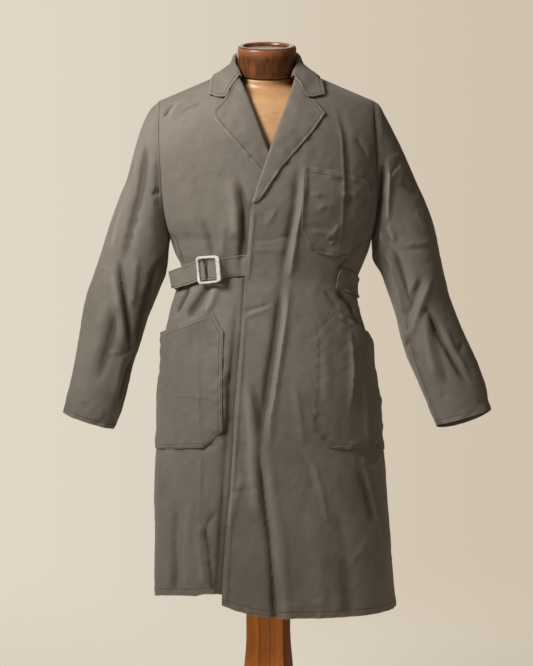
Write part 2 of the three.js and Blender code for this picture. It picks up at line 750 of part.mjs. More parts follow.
// Patch pockets
function pocket(outline, columns, rows, lift, gape) {
  const grid = fill(outline, columns, rows).map((line) => line.map((place) => {
    const row = rowAt(place.turn, place.z);
    return laid(place, lift(place.turn, row) + WALL + ON_TOP + gape(place.u, place.v));
  }));
  return shell(grid, WALL);
}

const POCKET_CHEST = {
  left: [spot(86, 1127), spot(66, 1163), spot(69, 1249), spot(73, 1291)],
  right: [spot(153, 1111), spot(184, 1133), spot(206, 1225), spot(203, 1258)],
  bottom: [spot(86, 1127), spot(153, 1111)],
  top: [spot(73, 1291), spot(126, 1282), spot(156, 1274), spot(203, 1258)],
};
const POCKET_RIGHT = {
  left: [turnSpot(-88, 729), turnSpot(-88, 956)],
  right: [spot(-121, 747), spot(-85, 781), spot(-83, 970), spot(-105, 1010)],
  bottom: [turnSpot(-88, 729), spot(-121, 747)],
  top: [turnSpot(-88, 956), spot(-160, 986), spot(-105, 1010)],
};
const POCKET_LEFT = {
  left: [spot(120, 747), spot(87, 786), spot(91, 980), spot(125, 1012)],
  right: [turnSpot(88, 726), turnSpot(88, 946)],
  bottom: [spot(120, 747), spot(181, 739), turnSpot(88, 726)],
  top: [spot(125, 1012), spot(168, 985), turnSpot(88, 946)],
};
const HIP_GAPE = 7; // how far the hip pockets' mouths stand open at the side
const CHEST_GAPE = 1.4; // the same for the chest pocket's outer side

// Belt
const BELT_WIDTH = 39;
const BELT_WALL = 1.8;
const BELT_SLACK = 0.4; // the belt lies this much looser than a sewn piece
const BELT = table(['turn', 'z'], [
  [46, 1073], [62, 1064], [90, 1048], [130, 1042], [180, 1042], [230, 1050], [270, 1066],
  [300, 1078], [310, 1084],
]);

function beltBand(steps) {
  const height = curve(BELT, 'turn', 'z');
  const first = BELT[0].turn;
  const last = BELT[BELT.length - 1].turn;
  const lines = [-1, 0, 1].map((edge) => {
    const line = [];
    for (let k = 0; k <= steps; k += 1) {
      const full = mix(first, last, k / steps);
      const turn = full > 180 ? full - 360 : full;
      const z = height(full) + (edge * BELT_WIDTH) / 2;
      const lift = turn > 0 ? overLift(turn, rowAt(turn, z)) : 0;
      line.push(laid(turnSpot(turn, z), lift + ON_TOP + BELT_WALL + BELT_SLACK));
    }
    return line;
  });
  return shell(lines, BELT_WALL);
}

// A strap through stations, each the middle of its width with half of the width as a vector.
function strap(stations) {
  const low = stations.map((station) => station.middle.clone().sub(station.half));
  const middle = stations.map((station) => station.middle);
  const high = stations.map((station) => station.middle.clone().add(station.half));
  return shell([low, middle, high], BELT_WALL);
}

function coatStation(x, z, out) {
  const low = laid(spot(x, z - BELT_WIDTH / 2), out);
  const high = laid(spot(x, z + BELT_WIDTH / 2), out);
  const half = high.clone().sub(low).multiplyScalar(0.5);
  return { middle: low.add(half), half };
}

function buckleStation(u, depth) {
  const middle = bucklePoint(u, 0, depth);
  return { middle, half: bucklePoint(u, BELT_WIDTH / 2, depth).sub(middle) };
}

function beltTail() {
  const under = -BUCKLE.wire - 2 * SEAM;
  return strap([
    { middle: new THREE.Vector3(-190, -37, 1067), half: new THREE.Vector3(-2.5, 0, 17) },
    { middle: new THREE.Vector3(-176, -53, 1072), half: new THREE.Vector3(-2, 0, 18.5) },
    { middle: new THREE.Vector3(-156, -71, 1079), half: new THREE.Vector3(-1.5, 0, 19.2) },
    buckleStation(-BUCKLE.width / 2 - 3, under),
    buckleStation(-BUCKLE.width / 2 + 5, under),
    buckleStation(THICK_END.at - 8, under + 2),
    buckleStation(THICK_END.at - 5, under + 1),
    buckleStation(THICK_END.at - 4.4, under - 1),
  ]);
}

function beltTab() {
  const under = -BUCKLE.wire - 2 * SEAM;
  return strap([
    buckleStation(THICK_END.at - 1.6, under - 1),
    buckleStation(THICK_END.at - 1, under + 1),
    buckleStation(THICK_END.at + 2, under + 2),
    buckleStation(BUCKLE.width / 2 - 5, under),
    buckleStation(BUCKLE.width / 2 + 3, under),
    coatStation(-74, 1096, 4.6),
    coatStation(-58, 1098, 3),
    coatStation(-46, 1099, 2.3),
    coatStation(-30, 1099.5, 2.2),
  ]);
}

// Buckle: a rounded frame with a bar across it
const BUCKLE = { x: -113, y: -101, z: 1091, width: 46, height: 48, wire: 2.2, corner: 6 };
const BUCKLE_TURN = 31; // degrees that the frame faces round to the wearer's right
const BUCKLE_ROLL = 6; // degrees that it lies out of level
const THICK_END = { at: -4, wire: 3.6 }; // the frame is thicker on this side of the bar
const BAR = { u: THICK_END.at - 3, depth: -2, wire: 1 }; // bar across, between the straps

function bucklePoint(u, w, depth) {
  const point = new THREE.Vector3(u, -depth, w);
  point.applyAxisAngle(new THREE.Vector3(0, 1, 0), radians(-BUCKLE_ROLL));
  point.applyAxisAngle(new THREE.Vector3(0, 0, 1), radians(-BUCKLE_TURN));
  return point.add(new THREE.Vector3(BUCKLE.x, BUCKLE.y, BUCKLE.z));
}

function buckleFrame(sides) {
  const reachU = BUCKLE.width / 2 - BUCKLE.corner;
  const reachW = BUCKLE.height / 2 - BUCKLE.corner;
  const path = [];
  for (const [quarter, u, w] of [[0, 1, 1], [1, -1, 1], [2, -1, -1], [3, 1, -1]]) {
    for (const step of [0, 1, 2, 3]) {
      const angle = radians(quarter * 90 + step * 30);
      path.push([u * reachU + BUCKLE.corner * Math.cos(angle),
        w * reachW + BUCKLE.corner * Math.sin(angle)]);
    }
    const level = (w * BUCKLE.height) / 2;
    if (quarter === 0) path.push([THICK_END.at + 1, level], [THICK_END.at, level]);
    if (quarter === 2) path.push([THICK_END.at, level], [THICK_END.at + 1, level]);
  }
  const rings = path.map(([u, w], k) => {
    const before = path[(k + path.length - 1) % path.length];
    const after = path[(k + 1) % path.length];
    const heading = new THREE.Vector2(after[0] - before[0], after[1] - before[1]).normalize();
    const thick = u <= THICK_END.at && Math.abs(w) > reachW;
    const wire = thick ? THICK_END.wire : BUCKLE.wire;
    const ring = [];
    for (let j = 0; j < sides; j += 1) {
      const angle = (j / sides) * 2 * Math.PI;
      const off = wire * Math.cos(angle);
      ring.push(bucklePoint(u + heading.y * off, w - heading.x * off, wire * Math.sin(angle)));
    }
    return ring;
  });
  return closedLoop(rings);
}

function closedLoop(rings) {
  const columns = rings[0].length;
  const index = [];
  const id = (i, j) => (i % rings.length) * columns + (j % columns);
  for (let i = 0; i < rings.length; i += 1) {
    for (let j = 0; j < columns; j += 1) {
      index.push(id(i, j), id(i + 1, j), id(i + 1, j + 1));
      index.push(id(i, j), id(i + 1, j + 1), id(i, j + 1));
    }
  }
  return mesh(rings.flat(), index);
}

function buckleBar(sides) {
  const reach = BUCKLE.height / 2 - THICK_END.wire - SEAM;
  const rings = [-reach, reach].map((w) => {
    const ring = [];
    for (let j = 0; j < sides; j += 1) {
      const angle = (j / sides) * 2 * Math.PI;
      const off = { u: BAR.wire * Math.cos(angle), depth: BAR.wire * Math.sin(angle) };
      ring.push(bucklePoint(BAR.u + off.u, w, BAR.depth - off.depth));
    }
    return ring;
  });
  return solid(rings);
}

// Dress form: the torso keeps clear inside the coat and narrows to its neck
const FORM_CLEAR = 11; // space between the form and the coat
const SHOULDER_CLEAR = 2.3; // the same above the form's shoulders, on which the coat rests
const NECK = { y: -4, z: 1466, radius: 53 };
const NECK_LEAN = 12; // degrees that the neck and its cap lean forward
const NECK_START = 1418; // the shoulders begin to narrow to the neck here
const FORM_AROUND = 24;
const FORM_HEIGHTS = [850, 862, 900, 960, 1020, 1080, 1140, 1200, 1250, 1290, 1330, 1360, 1385,
  1402, 1415, 1426, 1436, 1444, 1452, 1459];

function depthAt(x, z, back) {
  const place = placeOf(x, z, back);
  return bodyPoint(place.turn, place.row).y;
}

function neckPoint(angle, radius, height) {
  const lean = radians(NECK_LEAN);
  const x = radius * Math.sin(angle);
  const y = -radius * Math.cos(angle);
  return new THREE.Vector3(
    x,
    NECK.y + y * Math.cos(lean) - height * Math.sin(lean),
    NECK.z + y * Math.sin(lean) + height * Math.cos(lean),
  );
}

function formRing(z) {
  const ring = [];
  const quarter = FORM_AROUND / 4;
  const slope = (SHOULDER_TIP.z - SHOULDER_CLEAR - z) / SHOULDER_SLOPE + SHOULDER_TIP.x;
  for (let j = 0; j < FORM_AROUND; j += 1) {
    const back = j > quarter && j <= 3 * quarter;
    const angle = (j / FORM_AROUND) * 2 * Math.PI;
    const side = Math.sin(angle) < 0 ? 'left' : 'right';
    const reach = Math.min(halfWidth[side](z) - FORM_CLEAR - 1, slope);
    const x = reach * Math.sign(Math.sin(angle)) * Math.abs(Math.sin(angle)) ** 0.9;
    const widen = halfWidth[side](z) / (halfWidth[side](z) - FORM_CLEAR - 1);
    const sample = x * mix(widen, 1, smooth((z - CHEST_LINE) / 60));
    const surface = depthAt(sample, z + SHOULDER_CLEAR * smooth((z - 1240) / 60), back);
    const middle = SHOULDER_TIP.y;
    const onShoulder = smooth((z - CHEST_LINE) / 100) * smooth((Math.abs(x) - 80) / 40);
    const inset = mix(FORM_CLEAR, SHOULDER_CLEAR, onShoulder);
    const clear = surface + (back ? -inset : inset);
    const y = back ? Math.max(clear, middle + 1) : Math.min(clear, middle - 1);
    const narrow = smooth((z - NECK_START) / (NECK.z - 4 - NECK_START));
    const point = new THREE.Vector3(x, y, z);
    ring.push(point.lerp(neckPoint(angle, NECK.radius, z - NECK.z), narrow));
  }
  return ring;
}

function formTorso() {
  const rings = FORM_HEIGHTS.map(formRing);
  const circle = (height) => Array.from({ length: FORM_AROUND }, (_, j) => (
    neckPoint((j / FORM_AROUND) * 2 * Math.PI, NECK.radius, height)));
  rings.push(circle(-3), circle(4));
  return solid(rings);
}

// Neck cap: a turned block with a shallow dish in its top, on the neck's own axis
const CAP = table(['radius', 'height'], [
  [55, 4.4], [57.5, 8], [58, 16], [58, 40], [58.5, 56], [56.5, 61], [53, 62], [46, 61], [43, 58],
]);
const CAP_AROUND = 24;

function formCap() {
  const rings = CAP.map((row) => Array.from({ length: CAP_AROUND }, (_, j) => (
    neckPoint((j / CAP_AROUND) * 2 * Math.PI, row.radius, row.height))));
  return solid(rings);
}

// Stand: a square post turned a little, flaring into its foot, on a plain base
const POST = { x: 4, y: 0, half: 37.5, turn: 13, corner: 5 };
const POST_HEIGHTS = table(['z', 'half'], [
  [40.3, 104], [55, 92], [80, 77], [120, 63], [170, 52], [230, 45.5], [290, 41], [345, 37.5],
  [849.6, 37.5],
]);
const BASE = { half: 175, height: 40, edge: 5 };

function squareRing(half, corner, z) {
  const ring = [];
  for (const [u, w] of [[1, -1], [1, 1], [-1, 1], [-1, -1]]) {
    const start = Math.atan2(w, u) - Math.PI / 4;
    for (const step of [0, 1, 2]) {
      const angle = start + (step * Math.PI) / 4;
      const point = new THREE.Vector3(
        u * (half - corner) + corner * Math.cos(angle),
        w * (half - corner) + corner * Math.sin(angle),
        0,
      );
      point.applyAxisAngle(new THREE.Vector3(0, 0, 1), radians(-POST.turn));
      ring.push(point.add(new THREE.Vector3(POST.x, POST.y, z)));
    }
  }
  return ring;
}

function standPost() {
  return solid(POST_HEIGHTS.map((row) => squareRing(row.half, POST.corner, row.z)));
}

function standBase() {
  return solid([
    squareRing(BASE.half - BASE.edge, 12, 0),
    squareRing(BASE.half, 14, BASE.edge),
    squareRing(BASE.half, 14, BASE.height - BASE.edge),
    squareRing(BASE.half - BASE.edge, 12, BASE.height),
  ]);
}

const group = new THREE.Group();
function add(name, geometry, material) {
  const piece = new THREE.Mesh(geometry, material);
  piece.name = name;
  group.add(piece);
}

const none = () => 0;
const MOUTH_START = 0.72; // share of the pocket's height above which its mouth stands open
const mouth = (v) => HIP_GAPE * smooth((v - MOUTH_START) / (1 - MOUTH_START));
add('front_right', frontPanel(underEdge, -1, 14, none), cloth());
add('front_left', frontPanel(frontEdge, 1, 20, overLift), cloth());
add('back_panel', backPanel(16), cloth());
add('sleeve_right', sleeve(SLEEVE_RIGHT, SLEEVE_RIGHT_FOLDS, -1), cloth());
add('sleeve_left', sleeve(SLEEVE_LEFT, SLEEVE_LEFT_FOLDS, 1), cloth());
add('lapel_right', lapel(LAPEL_RIGHT, -1, 6, 14, none), cloth());
add('lapel_left', lapel(LAPEL_LEFT, 1, 6, 16, overLift), cloth());
add('collar', collar(10), cloth());
add('pocket_chest', pocket(POCKET_CHEST, 7, 9, overLift, (u) => CHEST_GAPE * u), cloth());
add('pocket_right', pocket(POCKET_RIGHT, 8, 12, none, (u, v) => mouth(v) * (1 - u)), cloth());
add('pocket_left', pocket(POCKET_LEFT, 8, 12, overLift, (u, v) => mouth(v) * u), cloth());
add('belt_band', beltBand(40), cloth());
add('belt_tail', beltTail(), cloth());
add('belt_tab', beltTab(), cloth());
add('buckle_frame', buckleFrame(8), steel());
add('buckle_bar', buckleBar(8), steel());
add('form_torso', formTorso(), linen());
add('form_cap', formCap(), darkWood());
add('stand_post', standPost(), postWood());
add('stand_base', standBase(), postWood());

// The origin lies on the floor below the middle of the whole
const bounds = new THREE.Box3().setFromObject(group);
const centre = bounds.getCenter(new THREE.Vector3());
group.position.set(-centre.x, -centre.y, -bounds.min.z);

export default group;
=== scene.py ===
import math

import bpy
import numpy as np
from mathutils import Matrix, Vector
from mathutils.kdtree import KDTree


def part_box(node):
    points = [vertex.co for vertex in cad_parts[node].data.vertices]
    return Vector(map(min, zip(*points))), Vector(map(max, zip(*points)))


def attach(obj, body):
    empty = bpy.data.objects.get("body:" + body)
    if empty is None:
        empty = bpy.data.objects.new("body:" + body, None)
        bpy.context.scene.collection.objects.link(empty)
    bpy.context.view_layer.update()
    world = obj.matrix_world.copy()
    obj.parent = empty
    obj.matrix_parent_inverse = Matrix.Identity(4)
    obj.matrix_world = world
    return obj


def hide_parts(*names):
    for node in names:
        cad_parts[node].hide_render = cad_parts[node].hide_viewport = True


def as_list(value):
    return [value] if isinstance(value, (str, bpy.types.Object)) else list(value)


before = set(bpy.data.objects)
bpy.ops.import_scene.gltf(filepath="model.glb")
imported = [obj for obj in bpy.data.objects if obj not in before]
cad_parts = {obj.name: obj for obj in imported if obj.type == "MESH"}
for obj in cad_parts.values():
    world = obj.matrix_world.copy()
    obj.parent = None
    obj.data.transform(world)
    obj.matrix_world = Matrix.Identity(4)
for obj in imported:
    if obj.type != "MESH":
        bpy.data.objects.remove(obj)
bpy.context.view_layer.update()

# The coat's own sizes are in millimetres, and every mesh is in metres.
MM = 0.001
POST_X = 4.0
post_low, post_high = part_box("stand_post")
SHIFT = (post_low.x + post_high.x) / 2 - POST_X * MM

WALL = 1.5  # the cloth's thickness
CHEST_LINE = 1290.0  # above it the coat rounds over to the shoulders
ARMPIT = 1146.0
SHOULDER_TIP = {"x": 210.0, "y": 2.0, "z": 1420.0}
SHOULDER_SLOPE = 0.43
NECK_SIDE = 62.0
NECK_BACK_SHIFT = 10.0
ROUNDING_FRONT = 2.0
ROUNDING_BACK = 1.5
ARMHOLE_DEPTH = 70.0
# The over front's lift off the under one. Each fade is a start and a length: by height for the
# lapel, which lifts more, by turn away from the fly, and by height above the fronts' crossing.
FLY_LIFT = 4.5
LAPEL_LIFT = 4.5
LAPEL_START = (1160.0, 60.0)
LIFT_FADE = (22.0, 50.0)
CROSSING = (1325.0, 60.0)
ON_TOP = 1.5  # the gap under a piece that is laid on
HEM_BASE = 415.0
HEM_FADE_TOP = 700.0
# The section's roundness: across, and in depth at the side and in the open armhole
WIDTH_POWER = 0.87
SIDE_POWER = 0.87
OPEN_POWER = 1.2
SEAM = 0.4  # the gap between pieces that meet


def table(columns, rows):
    names = columns.split()
    return [dict(zip(names, row)) for row in rows]


# The coat's section at each height: half widths to each side, depths to the front and back
BODY = table("z left right front back", [
    (415, 226, 261, 156, 156), (540, 225, 250, 151, 150), (663, 225, 240, 146, 144),
    (753, 220, 232, 141, 138), (850, 216, 223, 136, 132), (953, 203, 202, 124, 126),
    (1000, 193, 187, 115, 119), (1040, 182, 178, 109, 111), (1070, 169, 181, 106, 104),
    (1096, 171, 192, 108, 106), (1120, 182, 202, 112, 111), (1146, 190, 208, 117, 117),
    (1190, 199, 214, 123, 124), (1240, 204, 216, 127, 129), (1290, 207, 214, 127, 131),
    (1350, 210, 211, 124, 128), (1420, 210, 210, 118, 124),
])
# How much of the sleeve's depth the body has at its side, from the armpit up
ARMHOLE = table("z share", [
    (1110, 0), (1146, 0.1), (1165, 0.44), (1195, 0.75), (1240, 0.94), (CHEST_LINE, 1),
])
HEM = table("turn rise", [
    (-180, 4), (-90, 14), (-60, 30), (-32, 40), (-22, 30), (-10, 14), (3, 3), (18, 1),
    (90, -5), (180, 4),
])
FRONT_EDGE = table("z x", [
    (415, -86), (444, -85), (563, -78), (639, -71), (746, -64), (831, -60), (954, -50),
    (1058, -42), (1120, -38), (1155, -34), (1218, -29), (1243, -21), (1267, -13), (1320, 5),
    (1380, 27), (1424, 43), (1460, 54), (1484, 62),
])
UNDER_EDGE = table("z x", [
    (415, 0), (1000, 30), (1200, 46), (1240, 38), (1280, 20), (1320, 4), (1360, -11),
    (1395, -24), (1443, -43), (1465, -54), (1484, -62),
])
SLEEVE_RIGHT = table("outX outZ inX inZ midY half", [
    (-211, 1420, -190, 1147, 2, 70), (-227, 1405, -192, 1140, 1, 70),
    (-241, 1376, -193, 1133, 0, 70), (-259, 1319, -194, 1125, -1, 69),
    (-274, 1268, -195, 1114, -3, 68), (-292, 1228, -196, 1102, -4, 67),
    (-310, 1178, -198, 1090, -5, 66), (-327, 1124, -202, 1072, -6, 65),
    (-341, 1084, -214, 1043, -8, 63), (-354, 1045, -226, 1012, -9, 61),
    (-364, 1011, -238, 983, -11, 60), (-373, 962, -254, 931, -14, 58),
    (-380, 916, -266, 895, -18, 55), (-389, 869, -277, 852, -22, 51),
    (-397, 838, -288, 810, -26, 47), (-404, 804, -303, 771, -30, 43),
])
SLEEVE_LEFT = table("outX outZ inX inZ midY half", [
    (210, 1420, 208, 1147, 2, 70), (223, 1409, 209, 1137, 1, 70),
    (233, 1390, 209, 1128, 0, 70), (254, 1350, 210, 1120, -1, 69),
    (276, 1304, 210, 1110, -3, 68), (298, 1258, 213, 1101, -4, 67),
    (318, 1212, 219, 1092, -5, 66), (336, 1160, 228, 1078, -7, 65),
    (347, 1104, 237, 1054, -9, 63), (358, 1052, 248, 1023, -11, 61),
    (372, 1010, 257, 992, -13, 60), (390, 966, 269, 944, -18, 58),
    (405, 933, 280, 911, -24, 55), (419, 902, 293, 882, -31, 51),
    (433, 861, 311, 840, -40, 47), (439, 828, 323, 808, -48, 43),
    (444, 812, 335, 781, -53, 41),
])

# Creases of the body as seen from the front: places down the crease, then its half width,
# its height (negative sinks) and its sharpness (2 is soft, 1 is pinched).
BODY_CREASES = table("line width height sharp", [
    ([(75, 1296), (65, 1205), (57, 1165), (49, 1111), (43, 1066)], 6, 4, 1.7),
    ([(43, 1066), (35, 989), (26, 925), (18, 872), (14, 841), (5, 798), (3, 743)], 7, 5, 1.5),
    ([(60, 1290), (52, 1205), (44, 1165), (36, 1111), (30, 1066)], 8, -3, 2),
    ([(30, 1066), (21, 989), (12, 925), (3, 872), (-3, 820), (-9, 770)], 9, -5, 2),
    ([(-15, 764), (-11, 707), (-4, 638), (5, 572), (11, 497), (16, 415)], 6, -6, 1.7),
    ([(-2, 764), (4, 707), (12, 638), (22, 572), (30, 497), (36, 415)], 13, 3, 2),
    ([(-37, 882), (-33, 841), (-27, 776), (-24, 700), (-20, 600)], 12, 4.5, 2),
    ([(-23, 873), (-14, 809), (-4, 740)], 8, -3, 2),
    ([(-45, 701), (-62, 640), (-72, 580)], 8, 2.5, 2),
    ([(-45, 1007), (-17, 1017), (11, 1025)], 3.5, -2.2, 1.5),
    ([(-43, 1000), (-15, 1010), (12, 1019)], 5, 1.8, 2),
    ([(-112, 1066), (-128, 1036), (-157, 996)], 9, -6, 1.8),
    ([(-96, 1060), (-108, 1025), (-122, 1000)], 8, 4, 2),
    ([(-150, 1056), (-166, 1028), (-180, 1000)], 7, -5, 1.8),
    ([(-52, 1266), (-43, 1211), (-40, 1143), (-42, 1100)], 8, -5, 1.8),
    ([(-70, 1270), (-62, 1211), (-60, 1143)], 12, 2.5, 2),
    ([(-182, 1159), (-167, 1109), (-160, 1085)], 6, -3, 2),
    ([(-83, 1186), (-86, 1110)], 7, 1.8, 2),
    ([(-124, 1192), (-102, 1110)], 8, -1.8, 2),
    ([(-179, 1417), (-191, 1402), (-203, 1384)], 3.4, -5, 1.3),
    ([(-135, 1430), (-169, 1415), (-192, 1380)], 7, 3, 1.7),
    ([(-120, 1418), (-158, 1400), (-182, 1368)], 7, -2, 2),
    ([(132, 1400), (144, 1345), (147, 1265), (144, 1183), (137, 1120)], 3.2, 1.8, 1.2),
    ([(140, 1400), (153, 1345), (157, 1265), (154, 1183)], 9, -1.6, 2),
    ([(171, 1346), (196, 1309)], 5, -1.6, 1.5),
    ([(-3, 1174), (9, 1192), (18, 1211)], 6, 1.2, 2),
    ([(-30, 1150), (9, 1149), (52, 1161)], 4, -1.1, 1.6),
    ([(-30, 1128), (9, 1131), (40, 1128)], 4, 1, 1.6),
    ([(137, 1088), (159, 1119)], 5, -2.5, 1.6),
    ([(135, 1052), (160, 1024), (176, 1002)], 7, -4, 1.7),
    ([(148, 1052), (172, 1022), (186, 1000)], 6, 3, 2),
    ([(161, 1026), (174, 994), (189, 969)], 5, -3, 1.6),
    ([(110, 1050), (128, 1028), (140, 1012)], 5, -1.6, 2),
    ([(181, 724), (210, 703), (226, 722)], 3.5, 2, 1.3),
    ([(186, 725), (205, 659), (222, 590), (230, 533)], 4, 2.2, 1.2),
    ([(176, 715), (194, 659), (208, 590)], 10, -2.2, 2),
    ([(68, 747), (92, 715), (104, 670), (120, 588)], 5, 1.5, 1.6),
    ([(60, 740), (82, 708), (92, 660)], 8, -1.4, 2),
    ([(52, 872), (64, 807), (72, 750)], 7, 1.6, 2),
    ([(163, 517), (184, 546), (204, 571)], 8, 1.4, 2),
    ([(130, 640), (150, 540), (158, 430)], 18, -2.5, 2),
    ([(88, 640), (98, 540), (104, 425)], 18, 2, 2),
    ([(-65, 664), (-17, 670)], 6, -1, 2),
    ([(-128, 748), (-131, 624), (-129, 560)], 2.8, 1.6, 1.1),
    ([(-118, 748), (-121, 640)], 6, -1.2, 2),
    ([(-132, 735), (-113, 752), (-95, 748)], 6, -2.5, 1.7),
    ([(-93, 761), (-73, 785), (-66, 812)], 9, -3.5, 2),
    ([(-66, 900), (-76, 866), (-70, 832), (-72, 790)], 6, -3, 1.8),
    ([(-80, 905), (-90, 870), (-82, 836)], 6, 1.8, 2),
    ([(-90, 622), (-113, 595), (-121, 563), (-114, 509), (-106, 440)], 5, -4, 1.4),
    ([(-104, 600), (-132, 560), (-130, 505), (-124, 450)], 8, 2.4, 2),
    ([(-122, 550), (-112, 489)], 4, 1.6, 1.4),
    ([(-176, 640), (-184, 540), (-182, 440)], 16, -3, 2),
    ([(-150, 660), (-158, 560), (-160, 440)], 14, 2, 2),
    ([(15, 436), (80, 444), (120, 454)], 6, 1, 2),
    ([(-44, 1216), (-46, 1155), (-50, 1120), (-54, 1070)], 5, -3.5, 1.5),
    ([(-55, 1058), (-66, 940), (-76, 800), (-88, 620), (-98, 430)], 5, -3.2, 1.5),
    ([(-22, 1218), (-28, 1155), (-31, 1120), (-35, 1058)], 3.5, 1.6, 1.6),
    ([(-36, 1050), (-45, 940), (-55, 800), (-67, 620), (-78, 430)], 3.5, 1.8, 1.6),
    ([(-52, 1112), (-45, 1104)], 3, 1.6, 1.5),
    ([(-53, 1092), (-45, 1096)], 3, 1.6, 1.5),
    ([(-56, 1084), (-44, 1078)], 3, -1.6, 1.5),
])
# Creases of the back, as seen from the front through the body
BACK_CREASES = table("line width height sharp", [
    ([(2, 1190), (0, 1080)], 26, -4, 2),
    ([(60, 1040), (74, 900), (84, 650), (96, 420)], 22, 7, 2),
    ([(-58, 1040), (-76, 900), (-88, 650), (-104, 420)], 22, 7, 2),
    ([(22, 1000), (26, 800), (22, 430)], 18, -6, 2),
    ([(-16, 980), (-14, 800), (-20, 600)], 14, -3, 2),
    ([(-128, 1030), (-150, 800), (-170, 430)], 18, -6, 2),
    ([(122, 1030), (150, 800), (180, 430)], 18, -6, 2),
    ([(108, 1180), (92, 1085)], 14, 4, 2),
    ([(-100, 1180), (-86, 1085)], 14, 4, 2),
    ([(150, 1172), (140, 1090)], 11, -4, 2),
    ([(-145, 1172), (-134, 1090)], 11, -4, 2),
    ([(-176, 1260), (-130, 1210), (-80, 1190)], 9, 2.4, 1.8),
    ([(180, 1250), (134, 1204), (90, 1190)], 9, 2.4, 1.8),
    ([(-170, 1225), (-128, 1184)], 7, -2, 2),
    ([(172, 1216), (130, 1180)], 7, -2, 2),
    ([(-64, 1430), (-70, 1340), (-72, 1230)], 3, 1.3, 1.2),
    ([(58, 1430), (64, 1300), (66, 1130)], 3, 1.3, 1.2),
    ([(-120, 1400), (-60, 1392), (30, 1396), (110, 1404)], 9, -1.6, 2),
    ([(34, 1046), (50, 1012), (54, 980)], 6, -2.6, 1.7),
    ([(-30, 1048), (-42, 1014), (-44, 985)], 6, -2.6, 1.7),
    ([(92, 1050), (104, 1010), (110, 980)], 6, -2.6, 1.7),
    ([(-88, 1056), (-104, 1018), (-110, 985)], 6, 2.4, 1.7),
    ([(-150, 760), (-70, 752), (40, 756), (160, 748)], 3, 0.8, 1.3),
    ([(60, 640), (40, 560), (44, 500)], 6, 1.8, 1.8),
    ([(-60, 700), (-48, 600), (-52, 500)], 5, -2, 1.8),
    ([(196, 900), (214, 700), (226, 480)], 14, 4, 2),
    ([(-196, 900), (-208, 700), (-212, 480)], 14, 4, 2),
])
SLEEVE_RIGHT_CREASES = table("line width height sharp", [
    ([(-233, 1350), (-238, 1310), (-244, 1260), (-252, 1215), (-264, 1170), (-278, 1130),
      (-286, 1095)], 11, -5, 1.8),
    ([(-219, 1330), (-220, 1270), (-224, 1190)], 7, 1.6, 2),
    ([(-226, 1232), (-213, 1240), (-203, 1243)], 4.5, -3, 1.7),
    ([(-252, 1330), (-258, 1260), (-276, 1190)], 10, 2, 2),
    ([(-290, 1112), (-283, 1067), (-275, 1033), (-269, 981), (-268, 925)], 6, -8, 1.4),
    ([(-300, 1100), (-294, 1060), (-288, 1020), (-283, 970), (-284, 930)], 10, 4, 2),
    ([(-252, 1120), (-260, 1060), (-266, 1010)], 7, 3, 2),
    ([(-206, 1117), (-226, 1074), (-238, 1036), (-249, 993), (-258, 932)], 6, -5, 1.6),
    ([(-266, 913), (-279, 870), (-290, 822)], 7, -4, 1.7),
    ([(-280, 925), (-292, 880), (-302, 830)], 9, 2.5, 2),
    ([(-288, 1021), (-303, 961), (-320, 905), (-338, 858)], 12, -4, 2),
    ([(-306, 1040), (-322, 975), (-340, 905)], 12, 2, 2),
    ([(-274, 1240), (-295, 1168), (-306, 1117)], 7, 2.6, 1.6),
    ([(-264, 1190), (-242, 1205)], 5, 1, 1.5),
    ([(-276, 1160), (-255, 1171)], 5, 1, 1.5),
    ([(-270, 1175), (-248, 1187)], 5, -0.9, 1.5),
    ([(-284, 1140), (-262, 1146)], 5, 0.9, 1.6),
    ([(-312, 928), (-274, 922)], 4, 1.4, 1.5),
    ([(-330, 1090), (-294, 1086)], 3, 0.9, 1.4),
    ([(-262, 940), (-272, 926), (-290, 921)], 4, -2.5, 1.6),
    ([(-360, 830), (-352, 812)], 6, -1.4, 2),
    ([(-330, 815), (-322, 798)], 6, 1.3, 2),
])
SLEEVE_LEFT_CREASES = table("line width height sharp", [
    ([(228, 1300), (224, 1241), (217, 1186), (211, 1140)], 5.5, -10, 1.4),
    ([(237, 1292), (238, 1228), (237, 1180)], 5, 5.2, 1.35),
    ([(237, 1179), (249, 1143)], 5, 3, 1.6),
    ([(218, 1169), (237, 1130)], 5, 3, 1.6),
    ([(226, 1172), (244, 1138)], 4, -2.5, 1.6),
    ([(237, 1126), (249, 1088), (266, 1033), (273, 1011)], 5, 3.5, 1.6),
    ([(250, 1127), (266, 1076), (279, 1033), (284, 1012)], 6, -5, 1.7),
    ([(324, 1080), (303, 1025), (285, 961), (274, 935)], 6.5, 4.2, 1.4),
    ([(306, 1078), (286, 1025), (274, 990)], 6, -3, 2),
    ([(313, 1018), (336, 966), (362, 915), (396, 858)], 5, -6.5, 1.6),
    ([(309, 1008), (314, 953), (336, 868)], 11, 3.5, 2),
    ([(326, 992), (332, 932), (354, 850)], 11, -3.5, 2),
    ([(344, 980), (366, 930), (396, 880)], 8, 3, 2),
    ([(281, 961), (274, 932)], 4.5, -5, 1.6),
    ([(318, 1018), (309, 1008), (306, 990)], 4, -2.4, 1.5),
    ([(233, 1300), (263, 1314)], 4, 2, 1.4),
    ([(242, 1275), (263, 1304)], 4, -2, 1.4),
    ([(240, 1262), (256, 1284)], 4, 1.6, 1.5),
    ([(264, 1135), (294, 1139), (334, 1143)], 3, 1.6, 1.2),
    ([(262, 1128), (296, 1131), (328, 1134)], 5, -1.3, 1.8),
    ([(388, 944), (376, 927)], 5, -2.4, 1.6),
    ([(294, 1076), (273, 1033)], 5, 1.8, 1.7),
    ([(262, 1260), (300, 1236)], 9, -1.8, 2),
    ([(290, 1200), (316, 1170)], 8, 1.6, 2),
    ([(350, 850), (344, 830)], 6, -1.3, 2),
])
